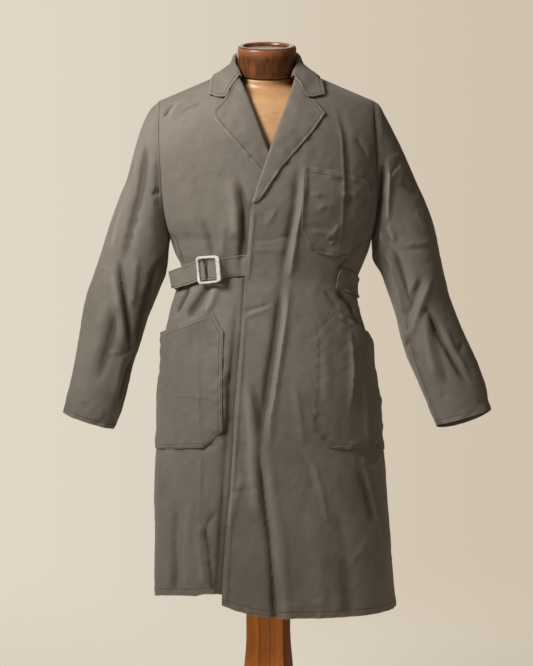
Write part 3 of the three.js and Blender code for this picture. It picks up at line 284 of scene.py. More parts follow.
# Creases on the hidden side of both sleeves, mirrored for the wearer's right one
SLEEVE_HIND_CREASES = table("line width height sharp", [
    ([(232, 1340), (236, 1270), (238, 1210)], 10, -3.5, 2),
    ([(252, 1300), (262, 1240), (270, 1190)], 9, 2.5, 2),
    ([(250, 1160), (276, 1120), (318, 1090)], 7, -3.2, 1.7),
    ([(256, 1120), (284, 1080), (326, 1056)], 7, 3, 1.7),
    ([(262, 1090), (292, 1050), (338, 1030)], 7, -3.5, 1.7),
    ([(270, 1056), (300, 1016), (340, 1000)], 8, 2.6, 1.8),
    ([(300, 1000), (330, 930), (352, 870)], 10, 3, 2),
    ([(318, 990), (352, 920), (374, 880)], 8, -3, 2),
])


# Curves and blends
def mix(a, b, t):
    return a + (b - a) * t


def smooth(t):
    s = np.clip(t, 0.0, 1.0)
    return s * s * (3 - 2 * s)


def curve(rows, key, column):
    at = np.array([row[key] for row in rows], float)
    value = np.array([row[column] for row in rows], float)
    last = len(at) - 1
    low = np.maximum(np.arange(last + 1) - 1, 0)
    high = np.minimum(np.arange(last + 1) + 1, last)
    slope = (value[high] - value[low]) / (at[high] - at[low])

    def read(place):
        p = np.clip(place, at[0], at[-1])
        k = np.clip(np.searchsorted(at, p, side="left") - 1, 0, last - 1)
        span = at[k + 1] - at[k]
        t = (p - at[k]) / span
        lean = t * (1 - t) ** 2 * slope[k] - t * t * (1 - t) * slope[k + 1]
        return mix(value[k], value[k + 1], t * t * (3 - 2 * t)) + span * lean

    return read


half_left = curve(BODY, "z", "left")
half_right = curve(BODY, "z", "right")
depth_front = curve(BODY, "z", "front")
depth_back = curve(BODY, "z", "back")
armhole_share = curve(ARMHOLE, "z", "share")
hem_rise = curve(HEM, "turn", "rise")
front_edge = curve(FRONT_EDGE, "z", "x")
under_edge = curve(UNDER_EDGE, "z", "x")


def at_place(rows, place):
    """Every column of a table, read between its rows by their number."""
    numbered = [{**row, "k": k} for k, row in enumerate(rows)]
    return {name: curve(numbered, "k", name)(place) for name in rows[0]}


# The coat's outer surface by turn in degrees, height, and share of the way up the shoulder
def wrapped(turn):
    return np.where(turn > 180, turn - 360, turn)


def shoulder_z(x):
    return SHOULDER_TIP["z"] + (SHOULDER_TIP["x"] - np.abs(x)) * SHOULDER_SLOPE


def shoulder_y(x):
    inward = (SHOULDER_TIP["x"] - np.abs(x)) / (SHOULDER_TIP["x"] - NECK_SIDE)
    return SHOULDER_TIP["y"] + NECK_BACK_SHIFT * inward


def half_width(side, z):
    return np.where(side < 0, half_left(z), half_right(z))


def full_height(z, rise):
    return z + (SHOULDER_TIP["z"] - CHEST_LINE) * rise


def body_point(turn, z, rise):
    turn, z, rise = np.broadcast_arrays(wrapped(np.asarray(turn, float)), z, rise)
    back = np.abs(turn) > 90
    angle = np.radians(np.where(back, 180 - np.abs(turn), np.abs(turn)))
    high = full_height(z, rise)
    half = half_width(turn, high)
    cosine = np.maximum(0, np.cos(angle))
    x = np.sign(turn) * half * np.maximum(0, np.sin(angle)) ** WIDTH_POWER
    opening = smooth((z - ARMPIT + 30) / 100)
    depth = np.where(back, depth_back(z), depth_front(z))
    end = ARMHOLE_DEPTH * armhole_share(high)
    out = end + (depth - end) * cosine ** mix(SIDE_POWER, OPEN_POWER, opening)
    sign = np.where(back, 1.0, -1.0)
    middle = SHOULDER_TIP["y"] * opening
    fade = 1 - smooth((z - HEM_BASE) / (HEM_FADE_TOP - HEM_BASE))
    power = np.where(back, ROUNDING_BACK, ROUNDING_FRONT)
    over = (1 - np.clip(rise, 0, 1) ** power) ** (1 / power)
    seam = shoulder_y(x)
    low_y = middle + sign * out
    y = np.where(rise > 0, seam + (low_y - seam) * over, low_y)
    up = mix(CHEST_LINE, shoulder_z(x), rise)
    return np.stack([x, y, np.where(rise > 0, up, z + hem_rise(turn) * fade)], -1)


def unit(vectors):
    return vectors / np.maximum(np.linalg.norm(vectors, axis=-1, keepdims=True), 1e-9)


def body_normal(turn, z, rise):
    turn, z, rise = np.broadcast_arrays(np.asarray(turn, float), z, rise)
    above = rise > 0
    high_rise = np.where(above, np.minimum(0.985, rise + 0.02), rise)
    low_rise = np.where(above, np.maximum(0, high_rise - 0.04), rise)
    high_z = np.where(above, z, z + 3)
    low_z = np.where(above, z, z - 3)
    upward = body_point(turn, high_z, high_rise) - body_point(turn, low_z, low_rise)
    around = body_point(turn + 1, z, rise) - body_point(turn - 1, z, rise)
    return unit(np.cross(around, upward))


def place_of(x, z, back=False):
    x, z = np.broadcast_arrays(np.asarray(x, float), np.asarray(z, float))
    above = z > CHEST_LINE
    rise = np.where(above, (z - CHEST_LINE) / (shoulder_z(x) - CHEST_LINE), 0)
    rise = np.clip(rise, 0, 1)
    low = np.minimum(z, CHEST_LINE)
    half = half_width(x, full_height(low, rise))
    share = np.clip(np.abs(x) / half, 0, 1)
    angle = np.degrees(np.arcsin(share ** (1 / WIDTH_POWER)))
    turn = np.where(x < 0, -1, 1) * (180 - angle if back else angle)
    return turn, low, rise


def row_at(turn, z):
    turn, z = np.broadcast_arrays(np.asarray(turn, float), np.asarray(z, float))
    angle = np.where(np.abs(turn) > 90, 180 - np.abs(turn), np.abs(turn))
    x = half_width(turn, z) * np.sin(np.radians(angle)) ** WIDTH_POWER
    rise = np.clip((z - CHEST_LINE) / (shoulder_z(x) - CHEST_LINE), 0, 1)
    return np.minimum(z, CHEST_LINE), np.where(z > CHEST_LINE, rise, 0)


SIDE_BAND = 14.0  # degrees beside the armhole where the cloth lies plain
SIDE_START = 40.0  # how far below the armpit that begins


def armhole_near(turn, z):
    from_side = np.abs(90 - np.abs(wrapped(turn)))
    return (1 - smooth(from_side / SIDE_BAND)) * smooth((z - ARMPIT + SIDE_START) / SIDE_START)


def over_lift(turn, z, rise):
    high = full_height(z, rise)
    lapel_zone = LAPEL_LIFT * smooth((high - LAPEL_START[0]) / LAPEL_START[1])
    opening = 1 - smooth((high - CROSSING[0]) / CROSSING[1])
    near = 1 - smooth((turn - LIFT_FADE[0]) / LIFT_FADE[1])
    return (FLY_LIFT + lapel_zone) * opening * near


# Creases: each is a line on the surface, and a point rises by its distance from that line
CREASE_DEPTH = 1.45
CREASE_REACH = 3.2  # half widths from its line to where a crease ends
CREASE_END = 0.28  # share of its length over which a crease fades
CREASE_PAST = 0.04  # share of its length by which it runs on past its ends


def on_line(points, count=14):
    points = np.asarray(points, float)
    lengths = np.linalg.norm(np.diff(points, axis=0), axis=1)
    run = np.concatenate([[0], np.cumsum(lengths)])
    at = np.linspace(0, run[-1], count)
    return np.stack([np.interp(at, run, points[:, k]) for k in range(points.shape[1])], -1)


def crease_height(points, lines):
    flat = points.reshape(-1, 3)
    height = np.zeros(len(flat))
    for crease, line in lines:
        reach = crease["width"] * CREASE_REACH
        low = line.min(0) - reach
        high = line.max(0) + reach
        near = np.nonzero(((flat > low) & (flat < high)).all(1))[0]
        if not len(near):
            continue
        spots = flat[near]
        best = np.full(len(near), 1e9)
        share = np.zeros(len(near))
        steps = len(line) - 1
        for k in range(steps):
            a = line[k]
            ab = line[k + 1] - a
            t = np.clip((spots - a) @ ab / max(ab @ ab, 1e-9), 0, 1)
            off = np.linalg.norm(spots - a - t[:, None] * ab, axis=1)
            closer = off < best
            best = np.where(closer, off, best)
            share = np.where(closer, (k + t) / steps, share)
        taper = smooth((share + CREASE_PAST) / CREASE_END)
        if not crease.get("open"):
            taper = taper * smooth((1 + CREASE_PAST - share) / CREASE_END)
        form = np.exp(-((best / crease["width"]) ** crease["sharp"]))
        height[near] += crease["height"] * taper * form
    return CREASE_DEPTH * height.reshape(points.shape[:-1])


def body_lines(creases, back):
    lines = []
    for crease in creases:
        spots = on_line(crease["line"])
        turn, z, rise = place_of(spots[:, 0], spots[:, 1], back)
        at_hem = crease["line"][-1][1] < 470 and abs(crease["height"]) > 1.5
        lines.append(({**crease, "open": at_hem}, body_point(turn, z, rise)))
    return lines


BODY_LINES = body_lines(BODY_CREASES, False) + body_lines(BACK_CREASES, True)


# Soft unevenness that all the cloth has: a few dozen long waves in fixed random directions
def waves(seed, count, shortest, longest):
    random = np.random.default_rng(seed)
    heading = unit(random.normal(size=(count, 3)))
    length = shortest * (longest / shortest) ** random.random(count)
    return heading / length[:, None] * 2 * np.pi, random.random(count) * 2 * np.pi


BROAD_WAVES = waves(5, 22, 70, 190)
SMALL_WAVES = waves(11, 40, 16, 46)
SHOULDER_FADE = 0.25  # the last share of the way up the shoulder, where creases run out
UNEVEN_COAT = 1.15
UNEVEN_COLLAR = 1.2
UNEVEN_STRAP = 0.5


def unevenness(points, broad=0.55, small=0.2):
    height = np.zeros(points.shape[:-1])
    for (vectors, phase), size in ((BROAD_WAVES, broad), (SMALL_WAVES, small)):
        for vector, start in zip(vectors, phase):
            height += size * np.sin(points @ vector + start) * math.sqrt(2 / len(phase))
    return height


def coat_height(turn, z, rise, points):
    fade = np.where(rise > 0, 1 - smooth((rise - 1 + SHOULDER_FADE) / SHOULDER_FADE), 1.0)
    near = 1 - armhole_near(turn, z)
    height = crease_height(points, BODY_LINES) + UNEVEN_COAT * unevenness(points)
    return height * fade * near


def coat_point(turn, z, rise, out=0.0):
    points = body_point(turn, z, rise)
    height = coat_height(turn, z, rise, points) + out
    return points + body_normal(turn, z, rise) * height[..., None]


def laid(turn, z, out):
    low, rise = row_at(turn, z)
    return coat_point(turn, low, rise, out)


# Cloth sheets: a flat grid is added, its points are moved to the surface, and it gets its wall
NO_ROW = 0.05  # metres from a row of stitches, where a piece has none
THICK_EDGE = 0.4  # how far a folded and stitched edge stands proud
THICK_FADE = 3.0  # and over how much it thins beyond its stitches
EDGE_CURL = 1.6  # how far an unstitched edge rolls outwards
CURL_REACH = 5.0
SEWN_DOWN = 1.0  # how far a patch is pressed onto the coat along its stitches
PUCKER = 0.72  # how much the stitches pull the cloth beside them
PUCKER_REACH = 12.0
PUCKER_END = 40.0
FAR = 50.0  # the distance given where a piece has no such edge


def to_metres(points):
    return points * MM + np.array([SHIFT, 0.0, 0.0])


def deselect():
    bpy.ops.object.select_all(action="DESELECT")


def only(obj):
    deselect()
    obj.select_set(True)
    bpy.context.view_layer.objects.active = obj


def edit_mode(kind=None):
    """Enters edit mode with everything selected."""
    bpy.ops.object.mode_set(mode="EDIT")
    if kind:
        bpy.ops.mesh.select_mode(type=kind)
    bpy.ops.mesh.select_all(action="SELECT")


def object_mode():
    bpy.ops.object.mode_set(mode="OBJECT")


def apply_place():
    bpy.ops.object.transform_apply(location=True, rotation=True, scale=True)


def shade(angle):
    bpy.ops.object.shade_smooth_by_angle(angle=math.radians(angle))


def apply_modifiers(obj):
    only(obj)
    for modifier in list(obj.modifiers):
        bpy.ops.object.modifier_apply(modifier=modifier.name)


def rides(obj, material, nodes=()):
    obj.data.materials.clear()
    obj.data.materials.append(material)
    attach(obj, "root")
    if nodes:
        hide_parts(*nodes)
    return obj


def grid_normals(grid, around=False):
    if around:
        across = np.roll(grid[:, :-1], -1, 1) - np.roll(grid[:, :-1], 1, 1)
        across = np.concatenate([across, across[:, :1]], 1)
    else:
        across = np.gradient(grid, axis=1)
    return unit(np.cross(across, np.gradient(grid, axis=0)))


def distance_to(points, lines):
    """The distance of each point from the nearest of some lines."""
    dense = np.concatenate([on_line(line, 260) for line in lines])
    tree = KDTree(len(dense))
    for k, point in enumerate(dense):
        tree.insert(point, k)
    tree.balance()
    flat = points.reshape(-1, 3)
    return np.array([tree.find(point)[2] for point in flat]).reshape(points.shape[:-1])


def rims(grid, sides):
    lines = {"left": grid[:, 0], "right": grid[:, -1], "bottom": grid[0], "top": grid[-1]}
    return [lines[side] for side in sides]


class Sheet:
    """One cut piece: its plain surface, how far it is moved out, and its stitched edges."""

    def __init__(self, base, normals, height, stitched=(), rows=(), mouth=(), mouth_row=0, flip=False,
                 bare=(), pressed=0.0, shade=None):
        self.base = base
        self.stitched = list(stitched)
        self.rows = list(rows)
        self.beside = None
        self.mouth = list(mouth)
        self.mouth_row = mouth_row
        far = np.full(base.shape[:2], FAR)
        self.edge = distance_to(base, rims(base, self.stitched)) if self.stitched else far
        self.lip = distance_to(base, rims(base, self.mouth)) if self.mouth else far
        near = np.minimum(self.edge, self.lip)
        cut_edge = distance_to(base, rims(base, bare)) if bare else far
        self.rim = np.minimum(near, cut_edge)
        # The shade is a painted shade and highlight, added to the fold attribute that the cloth colours
        # by
        self.shade = 0.0 if shade is None else shade
        band = max([*self.rows, 2.0])
        thick = THICK_EDGE * (1 - smooth((self.edge - band) / THICK_FADE))
        if self.mouth:
            hem = THICK_EDGE * (1 - smooth((self.lip - mouth_row) / THICK_FADE))
            thick = np.maximum(thick, hem)
        pull = PUCKER * unevenness(base, 0.0, 1.0) * np.exp(-near / PUCKER_REACH)
        curl = EDGE_CURL * np.exp(-((cut_edge / CURL_REACH) ** 2))
        pulled = np.where(near < PUCKER_END, pull, 0)
        self.height = height + thick + curl - pressed + pulled
        self.points = base + normals * self.height[..., None]
        self.normals = grid_normals(self.points)
        if flip:
            self.normals = -self.normals
        self.flip = flip

    def row_of_stitches(self, side, inset, field=None):
        """The line on the sheet at one distance from a side, by rows or columns inwards."""
        field = self.edge if field is None else field
        turned = side in ("bottom", "top")
        reverse = side in ("right", "top")
        swap = (lambda a: np.swapaxes(a, 0, 1)) if turned else (lambda a: a)
        f, p, n = swap(field), swap(self.points), swap(self.normals)
        if reverse:
            f, p, n = f[:, ::-1], p[:, ::-1], n[:, ::-1]
        half = max(4, f.shape[1] // 2)
        line, normal = [], []
        for k in range(f.shape[0]):
            beyond = np.nonzero(f[k, :half] >= inset)[0]
            if not len(beyond) or beyond[0] == 0:
                continue
            j = beyond[0]
            t = (inset - f[k, j - 1]) / (f[k, j] - f[k, j - 1])
            line.append(mix(p[k, j - 1], p[k, j], t))
            normal.append(mix(n[k, j - 1], n[k, j], t))
        return np.array(line), unit(np.array(normal))


def cut_lengths(grid):
    across = np.linalg.norm(np.diff(grid, axis=1), axis=2).mean(0)
    up = np.linalg.norm(np.diff(grid, axis=0), axis=2).mean(1)
    u = np.concatenate([[0], np.cumsum(across)])
    v = np.concatenate([[0], np.cumsum(up)])
    return np.broadcast_arrays(u[None, :], v[:, None])


def make_sheet(name, sheet, thickness=WALL, around=False):
    rows, columns = sheet.points.shape[:2]
    deselect()
    bpy.ops.mesh.primitive_grid_add(x_subdivisions=columns - 1, y_subdivisions=rows - 1, size=2)
    obj = bpy.context.object
    obj.name = name
    mesh = obj.data
    flat = np.empty(len(mesh.vertices) * 3)
    mesh.vertices.foreach_get("co", flat)
    place = flat.reshape(-1, 3)
    i = np.rint((place[:, 1] + 1) / 2 * (rows - 1)).astype(int)
    j = np.rint((place[:, 0] + 1) / 2 * (columns - 1)).astype(int)
    mesh.vertices.foreach_set("co", to_metres(sheet.points[i, j]).ravel())
    u, v = cut_lengths(sheet.base)
    cut = np.stack([u[i, j], v[i, j]], -1) * MM
    corner = np.empty(len(mesh.loops), int)
    mesh.loops.foreach_get("vertex_index", corner)
    layer = mesh.uv_layers.active
    layer.name = "cut"
    layer.uv.foreach_set("vector", cut[corner].ravel())
    empty = np.full(sheet.edge.shape, NO_ROW)
    sewn = [(sheet.edge - inset) * MM for inset in sheet.rows] + [empty, empty]
    # fold carries each point's crease height plus its painted shade, which the cloth turns into painted
    # highlight and shade
    fields = {"rim": sheet.rim * MM, "fold": sheet.height + sheet.shade, "row_a": sewn[0],
              "row_b": sewn[1] if sheet.beside is None else sheet.beside * MM,
              "row_c": (sheet.lip - sheet.mouth_row) * MM if sheet.mouth else empty}
    for title, field in fields.items():
        attribute = mesh.attributes.new(title, "FLOAT", "POINT")
        attribute.data.foreach_set("value", field[i, j].astype(float))
    only(obj)
    edit_mode()
    if around:
        bpy.ops.mesh.remove_doubles(threshold=0.00002)
    if sheet.flip:
        bpy.ops.mesh.flip_normals()
    object_mode()
    wall = obj.modifiers.new("wall", "SOLIDIFY")
    wall.thickness = thickness * MM
    wall.offset = -1
    wall.use_quality_normals = True
    apply_modifiers(obj)
    shade(50)
    return obj


# Fronts and back
ROLL_INSET = 5.0  # how far a front's edge stays back behind the lapel's roll
ROLL_FROM = 1200.0
NECK_DROP = 16.0  # how far the back is cut down at the neck
HEM_ROW = 13.0  # the row of stitches above the hem
LOW_ROWS = 244
HIGH_ROWS = 52
LOW_Z = np.linspace(HEM_BASE, CHEST_LINE, LOW_ROWS)
HIGH_RISE = np.sin(np.radians(np.linspace(1.5, 89.7, HIGH_ROWS)))
ROW_Z = np.concatenate([LOW_Z, np.full(HIGH_ROWS, CHEST_LINE)])
ROW_RISE = np.concatenate([np.zeros(LOW_ROWS), HIGH_RISE])


def edge_turn(edge, z, rise):
    at = z.copy()
    for _ in range(8):
        at = np.where(rise > 0, mix(CHEST_LINE, shoulder_z(edge(at)), rise), z)
    return place_of(edge(at), at)[0]


# Where the under front's hem rises, by turn, and how far up that fades
UNDER_HEM = [(-90, 0), (-34, 0), (-22, 16), (-8, 32), (90, 32)]
UNDER_HEM_FADE = 160.0
# Where the under front passes below the over front: how far it sinks, its painted shade and its reach
CROSSED = {"sink": 1.8, "shade": -6.5, "reach": 9.0, "top": ROLL_FROM}
BACK_SHADE = -0.6  # the painted shade and highlight of the back's folds are weakened by this share of their height


def coat_sheet(turn, z, rise, lift, hem=None, relief=None, **stitching):
    """A sheet that follows the coat's surface, lifted off it, with creases of its own."""
    plain = body_point(turn, z, rise)
    if hem:
        fade = 1 - smooth((z - HEM_BASE) / UNDER_HEM_FADE)
        plain[..., 2] += fade * np.interp(turn, *zip(*hem))
    normals = body_normal(turn, z, rise)
    height = coat_height(turn, z, rise, plain)
    if relief:
        lines, share = relief
        height = height + crease_height(plain, lines) * share
    return Sheet(plain + normals * lift[..., None], normals, height, **stitching)


def front_panel(edge, side, columns, lift_of):
    inset = ROLL_INSET * smooth((ROW_Z + ROW_RISE * 100 - ROLL_FROM) / 40) * side
    start = edge_turn(edge, ROW_Z, ROW_RISE)
    x = body_point(start, ROW_Z, ROW_RISE)[:, 0] + inset
    height = np.where(ROW_RISE > 0, mix(CHEST_LINE, shoulder_z(x), ROW_RISE), ROW_Z)
    start = place_of(x, height)[0]
    t = np.linspace(0, 1, columns)
    t = mix(t, smooth(t), 0.35)
    turn = mix(start[:, None], side * 90, t[None, :])
    if side < 0:
        turn = turn[:, ::-1]
    turn, z, rise = np.broadcast_arrays(turn, ROW_Z[:, None], ROW_RISE[:, None])
    lift = lift_of(turn, z, rise)
    sewn = {"stitched": ("bottom",), "rows": (HEM_ROW,)}
    if side > 0:
        # The over front's bare left edge joins the cloth's lighter rim: a painted highlight on the fly's
        # edge as well as wear
        return coat_sheet(turn, z, rise, lift, bare=("left",), **sewn)
    x = body_point(turn, z, rise)[..., 0]
    outside = np.maximum(0, front_edge(z) - x)
    below = 1 - smooth((full_height(z, rise) - CROSSED["top"]) / 60)
    crossed = below * np.exp(-outside / CROSSED["reach"])
    # The under front gets a painted shade beside the over front's edge
    return coat_sheet(turn, z, rise, lift - CROSSED["sink"] * crossed, UNDER_HEM,
                      shade=CROSSED["shade"] * crossed, **sewn)


def no_lift(turn, z, rise):
    return np.zeros(np.broadcast(turn, z, rise).shape)


def back_panel(columns):
    full = np.linspace(90, 270, columns)
    turn, z, rise = np.broadcast_arrays(wrapped(full)[None], ROW_Z[:, None], ROW_RISE[:, None])
    x = np.abs(body_point(turn, z, rise)[..., 0])
    dip = NECK_DROP * (1 - smooth((x - 20) / (NECK_SIDE - 20)))
    top = shoulder_z(np.maximum(x, NECK_SIDE)) - dip
    reach = np.minimum(1, (top - CHEST_LINE) / (shoulder_z(x) - CHEST_LINE))
    sheet = coat_sheet(turn, z, rise * reach, no_lift(turn, z, rise), stitched=("bottom",),
                       rows=(HEM_ROW,))
    sheet.shade = BACK_SHADE * sheet.height
    return sheet


# Sleeves: one tube each, with a seam under the arm
CUFF_ROW = 9.0
SLEEVE_ROWS = 190
SLEEVE_COLUMNS = 97
BOW_SECTIONS = 6


def sleeve_surface(rows, along, turn):
    place = along * (len(rows) - 1)
    at = at_place(rows, place)
    angle = np.radians(turn)
    cosine, sine = np.cos(angle), np.sin(angle)
    crown = np.where(sine > 0, 2 / ROUNDING_BACK, 2 / ROUNDING_FRONT)
    power = np.where(cosine > 0, mix(1, crown, 1 - smooth(place / 4)), 1.0)
    share = np.sign(cosine) * np.abs(cosine) ** power
    depth = np.sign(sine) * np.abs(sine) ** power
    arm_x, arm_z = (at["outX"] - at["inX"]) / 2, (at["outZ"] - at["inZ"]) / 2
    x = (at["outX"] + at["inX"]) / 2 + arm_x * share
    z = (at["outZ"] + at["inZ"]) / 2 + arm_z * share
    y = at["midY"] + depth * at["half"]
    first = rows[0]
    height = np.clip(z, first["inZ"], first["outZ"])
    straight = mix(first["inX"], first["outX"], (height - first["inZ"]) / (first["outZ"] - first["inZ"]))
    seam = np.sign(first["outX"]) * (half_width(first["outX"], height) + 2 * SEAM)
    x = x + (seam - straight) * (1 - smooth(place / BOW_SECTIONS))
    reach = np.sqrt(arm_x ** 2 + arm_z ** 2)
    outward = np.stack(np.broadcast_arrays(arm_x * cosine, reach * sine, arm_z * cosine), -1)
    return np.stack(np.broadcast_arrays(x, y, z), -1), unit(outward)


def seated(line, points):
    """A line seen from the front or behind, laid on the nearest points of a surface."""
    flat = points.reshape(-1, 3)
    spots = []
    for x, z in on_line(line, 12):
        spots.append(flat[np.argmin((flat[:, 0] - x) ** 2 + (flat[:, 2] - z) ** 2)])
    spots = np.array(spots)
    for _ in range(4):
        spots[1:-1] = (spots[:-2] + 2 * spots[1:-1] + spots[2:]) / 4
    return spots


UNDER_SEAM = {
    -1: [(-189, 1146), (-218, 1139), (-235, 1083), (-249, 1023), (-258, 972), (-259, 929),
         (-268, 880), (-284, 820), (-296, 775)],
    1: [(214, 1140), (235, 1126), (248, 1088), (265, 1033), (272, 1011), (282, 944), (308, 872),
        (334, 803), (340, 785)],
}
SEAM_RIDGE = {"width": 5.5, "height": 1.3, "sharp": 4.0, "open": True}
SEAM_ROWS = (-2.6, 2.6)
# The seam's painted light: a painted highlight as a ribbon on it and a painted shade line beside it, by
# distance from the seam
SEAM_LIGHT = {"width": 2.6, "tint": 4.2}
SEAM_DARK = {"at": 5.4, "width": 2.2, "tint": 4.4}
SEAM_INNER_SHADE = {-1: -3.6, 1: 0}  # the painted shade of the cloth between the seam and the body
SEAM_TOP = {"shade": 1165.0, "ribbon": 1150.0}  # the heights above which neither is drawn
CUFF_SHARE = 0.1  # share of the sleeve's length over which its end is drawn down
CUFF_DROP = {-1: (0, 0), 1: (19, 4)}  # how far each cuff's hind half drops and its front rises


def sleeve_sheet(rows, creases, side):
    along = np.linspace(0, 1, SLEEVE_ROWS)[:, None]
    turn = np.linspace(0, 360, SLEEVE_COLUMNS)[None, :]
    base, outward = sleeve_surface(rows, along, turn)
    sine = np.sin(np.radians(turn))
    drop, lift = CUFF_DROP[side]
    at_end = smooth((along - 1 + CUFF_SHARE) / CUFF_SHARE)
    base[..., 2] -= np.where(sine > 0, drop, lift) * sine * at_end
    in_front = base[:, SLEEVE_COLUMNS // 2:]
    behind = base[:, :SLEEVE_COLUMNS // 2]
    lines = [(crease, seated(crease["line"], in_front)) for crease in creases]
    for crease in SLEEVE_HIND_CREASES:
        line = [(x * side - (8 if side < 0 else 0), z) for x, z in crease["line"]]
        lines.append((crease, seated(line, behind)))
    seam = seated(UNDER_SEAM[side], in_front)
    lines.append((SEAM_RIDGE, seam))
    fade = smooth(along / 0.035)
    height = (crease_height(base, lines) + unevenness(base)) * fade
    sheet = Sheet(base, outward, height, stitched=("top",), rows=(CUFF_ROW,), flip=side > 0)
    away = distance_to(sheet.points, [seam])
    sheet.beside = away - SEAM_ROWS[1]
    order = np.argsort(seam[:, 2])
    x, z = base[..., 0], base[..., 2]
    inside = (np.interp(z, seam[order, 2], seam[order, 0]) - x) * side
    # Painted shade on the front of the wearer's right sleeve between its seam and the body, and the
    # seam's painted highlight and shade lines
    inner = smooth((inside - 3) / 5) * smooth((SEAM_TOP["shade"] - z) / 25) * (sine < 0)
    light = SEAM_LIGHT["tint"] * np.exp(-((away / SEAM_LIGHT["width"]) ** 4))
    dark = SEAM_DARK["tint"] * np.exp(-(((away - SEAM_DARK["at"]) / SEAM_DARK["width"]) ** 2))
    ribbon = (light - dark) * smooth((SEAM_TOP["ribbon"] - z) / 20)
    sheet.shade = SEAM_INNER_SHADE[side] * inner + ribbon
    return sheet, seam


# Pieces laid on the fronts: four-sided outlines filled with rows and columns of places
DEGREE = 3.4


def spot(x, z):
    return (float(place_of(x, z)[0]), float(z), float(x))


def turn_spot(turn, z):
    return (float(turn), float(z), 0.0)


def spaced(places, count):
    places = np.array(places)
    steps = np.hypot(np.diff(places[:, 0]) * DEGREE, np.diff(places[:, 1]))
    run = np.cumsum(steps) / steps.sum() * count
    ends = [0]
    for k, at in enumerate(run):
        left = len(run) - 1 - k
        ends.append(int(min(count - left, max(ends[k] + 1, round(at)))))
    return np.stack([np.interp(np.arange(count + 1), ends, places[:, k]) for k in range(3)], -1)


def fill(outline, columns, rows):
    left, right = spaced(outline["left"], rows), spaced(outline["right"], rows)
    bottom, top = spaced(outline["bottom"], columns), spaced(outline["top"], columns)
    u = np.linspace(0, 1, columns + 1)[None, :, None]
    v = np.linspace(0, 1, rows + 1)[:, None, None]
    sides = mix(left[:, None], right[:, None], u)
    ends = mix(bottom[None], top[None], v)
    corners = mix(mix(left[0], right[0], u), mix(left[-1], right[-1], u), v)
    return sides + ends - corners, u[..., 0], v[..., 0]


# Lapels
ROLL = 3.0
LAPEL_PUFF = 1.6
ROLL_TURNS = np.linspace(-80, 45, 10)
LAPEL_ROW = 6.0


def roll_line(edge, low, high):
    return [spot(edge(z), z) for z in np.linspace(low, high, 14)]


LAPEL_RIGHT = {
    "left": [spot(4, 1266), spot(-18, 1287), spot(-56, 1331), spot(-99, 1380), spot(-103, 1394)],
    "right": roll_line(under_edge, 1276, 1465),
    "bottom": [spot(4, 1266), spot(under_edge(1276), 1276)],
    "top": [spot(-103, 1394), spot(-79, 1420), spot(-65, 1443), spot(under_edge(1465), 1465)],
}
LAPEL_LEFT = {
    "left": roll_line(front_edge, 1222, 1461),
    "right": [spot(-14, 1226), spot(27, 1288), spot(46, 1309), spot(89, 1358), spot(111, 1390)],
    "bottom": [spot(front_edge(1222), 1222), spot(-14, 1226)],
    "top": [spot(front_edge(1461), 1461), spot(66, 1445), spot(80, 1419), spot(89, 1416),
            spot(111, 1390)],
}


def lapel_sheet(outline, side, columns, rows, lift_of):
    places, _, v = fill(outline, columns, rows)
    if side < 0:
        places = places[:, ::-1]
    z, x = places[..., 1], places[..., 2]
    turns = np.radians(ROLL_TURNS)[None, :]
    roll_x = x[:, :1] + (ROLL - ROLL * np.cos(turns)) * side
    roll_z = np.repeat(z[:, :1], len(ROLL_TURNS), 1)
    roll_out = -WALL / 2 + ROLL * np.sin(turns) + 0 * roll_x
    t = np.linspace(0, 1, columns + 1)[None, 1:]
    face_x = x[:, 1:] + ROLL * side * (1 - t)
    puff = LAPEL_PUFF * np.sin(np.pi * t ** 0.7) * smooth((v - 0.15) / 0.4)
    all_x = np.concatenate([roll_x, face_x], 1)
    all_z = np.concatenate([roll_z, z[:, 1:]], 1)
    out = np.concatenate([roll_out, WALL + ON_TOP + puff], 1)
    if side < 0:
        all_x, all_z, out = all_x[:, ::-1], all_z[:, ::-1], out[:, ::-1]
    turn, low, rise = place_of(all_x, all_z)
    out = out + lift_of(turn, low, rise)
    outer = "left" if side < 0 else "right"
    return coat_sheet(turn, low, rise, out, stitched=(outer, "top"), rows=(LAPEL_ROW,))


# Collar: seam round the neck, roll over the top and outer edge on the shoulders
COLLAR = table("seamX seamY seamZ rollX rollY rollZ edgeX edgeZ", [
    (0, 62, 1470, 0, 58, 1514, 0, 1458), (26, 58, 1472, 27, 53, 1514, 38, 1458),
    (48, 44, 1478, 48, 38, 1513, 68, 1459), (60, 24, 1486, 60, 17, 1509, 92, 1463),
    (64, 2, 1489, 64, -7, 1499, 103, 1470), (62, -24, 1482, 62, -28, 1488, 107, 1452),
])
COLLAR_FACES = ["back", "back", "back", "back", "seam", "front"]
COLLAR_REST = 3.6
COLLAR_ROLL = 3.0
COLLAR_PUFF = 3.0
# How far the fall hangs in over the shoulders, where along the table's rows, and over how much
COLLAR_SAG = {"deep": 10.0, "at": 3.3, "spread": 1.2}
COLLAR_FRONT = table("x z out", [
    (53, 1464, -2.5), (50, 1464, -1), (48.5, 1464.5, 1), (50, 1464, 3.8), (54, 1460, 5.2),
    (66, 1442.5, 5.6), (80, 1422, 4.8), (112, 1427, 3.5),
])


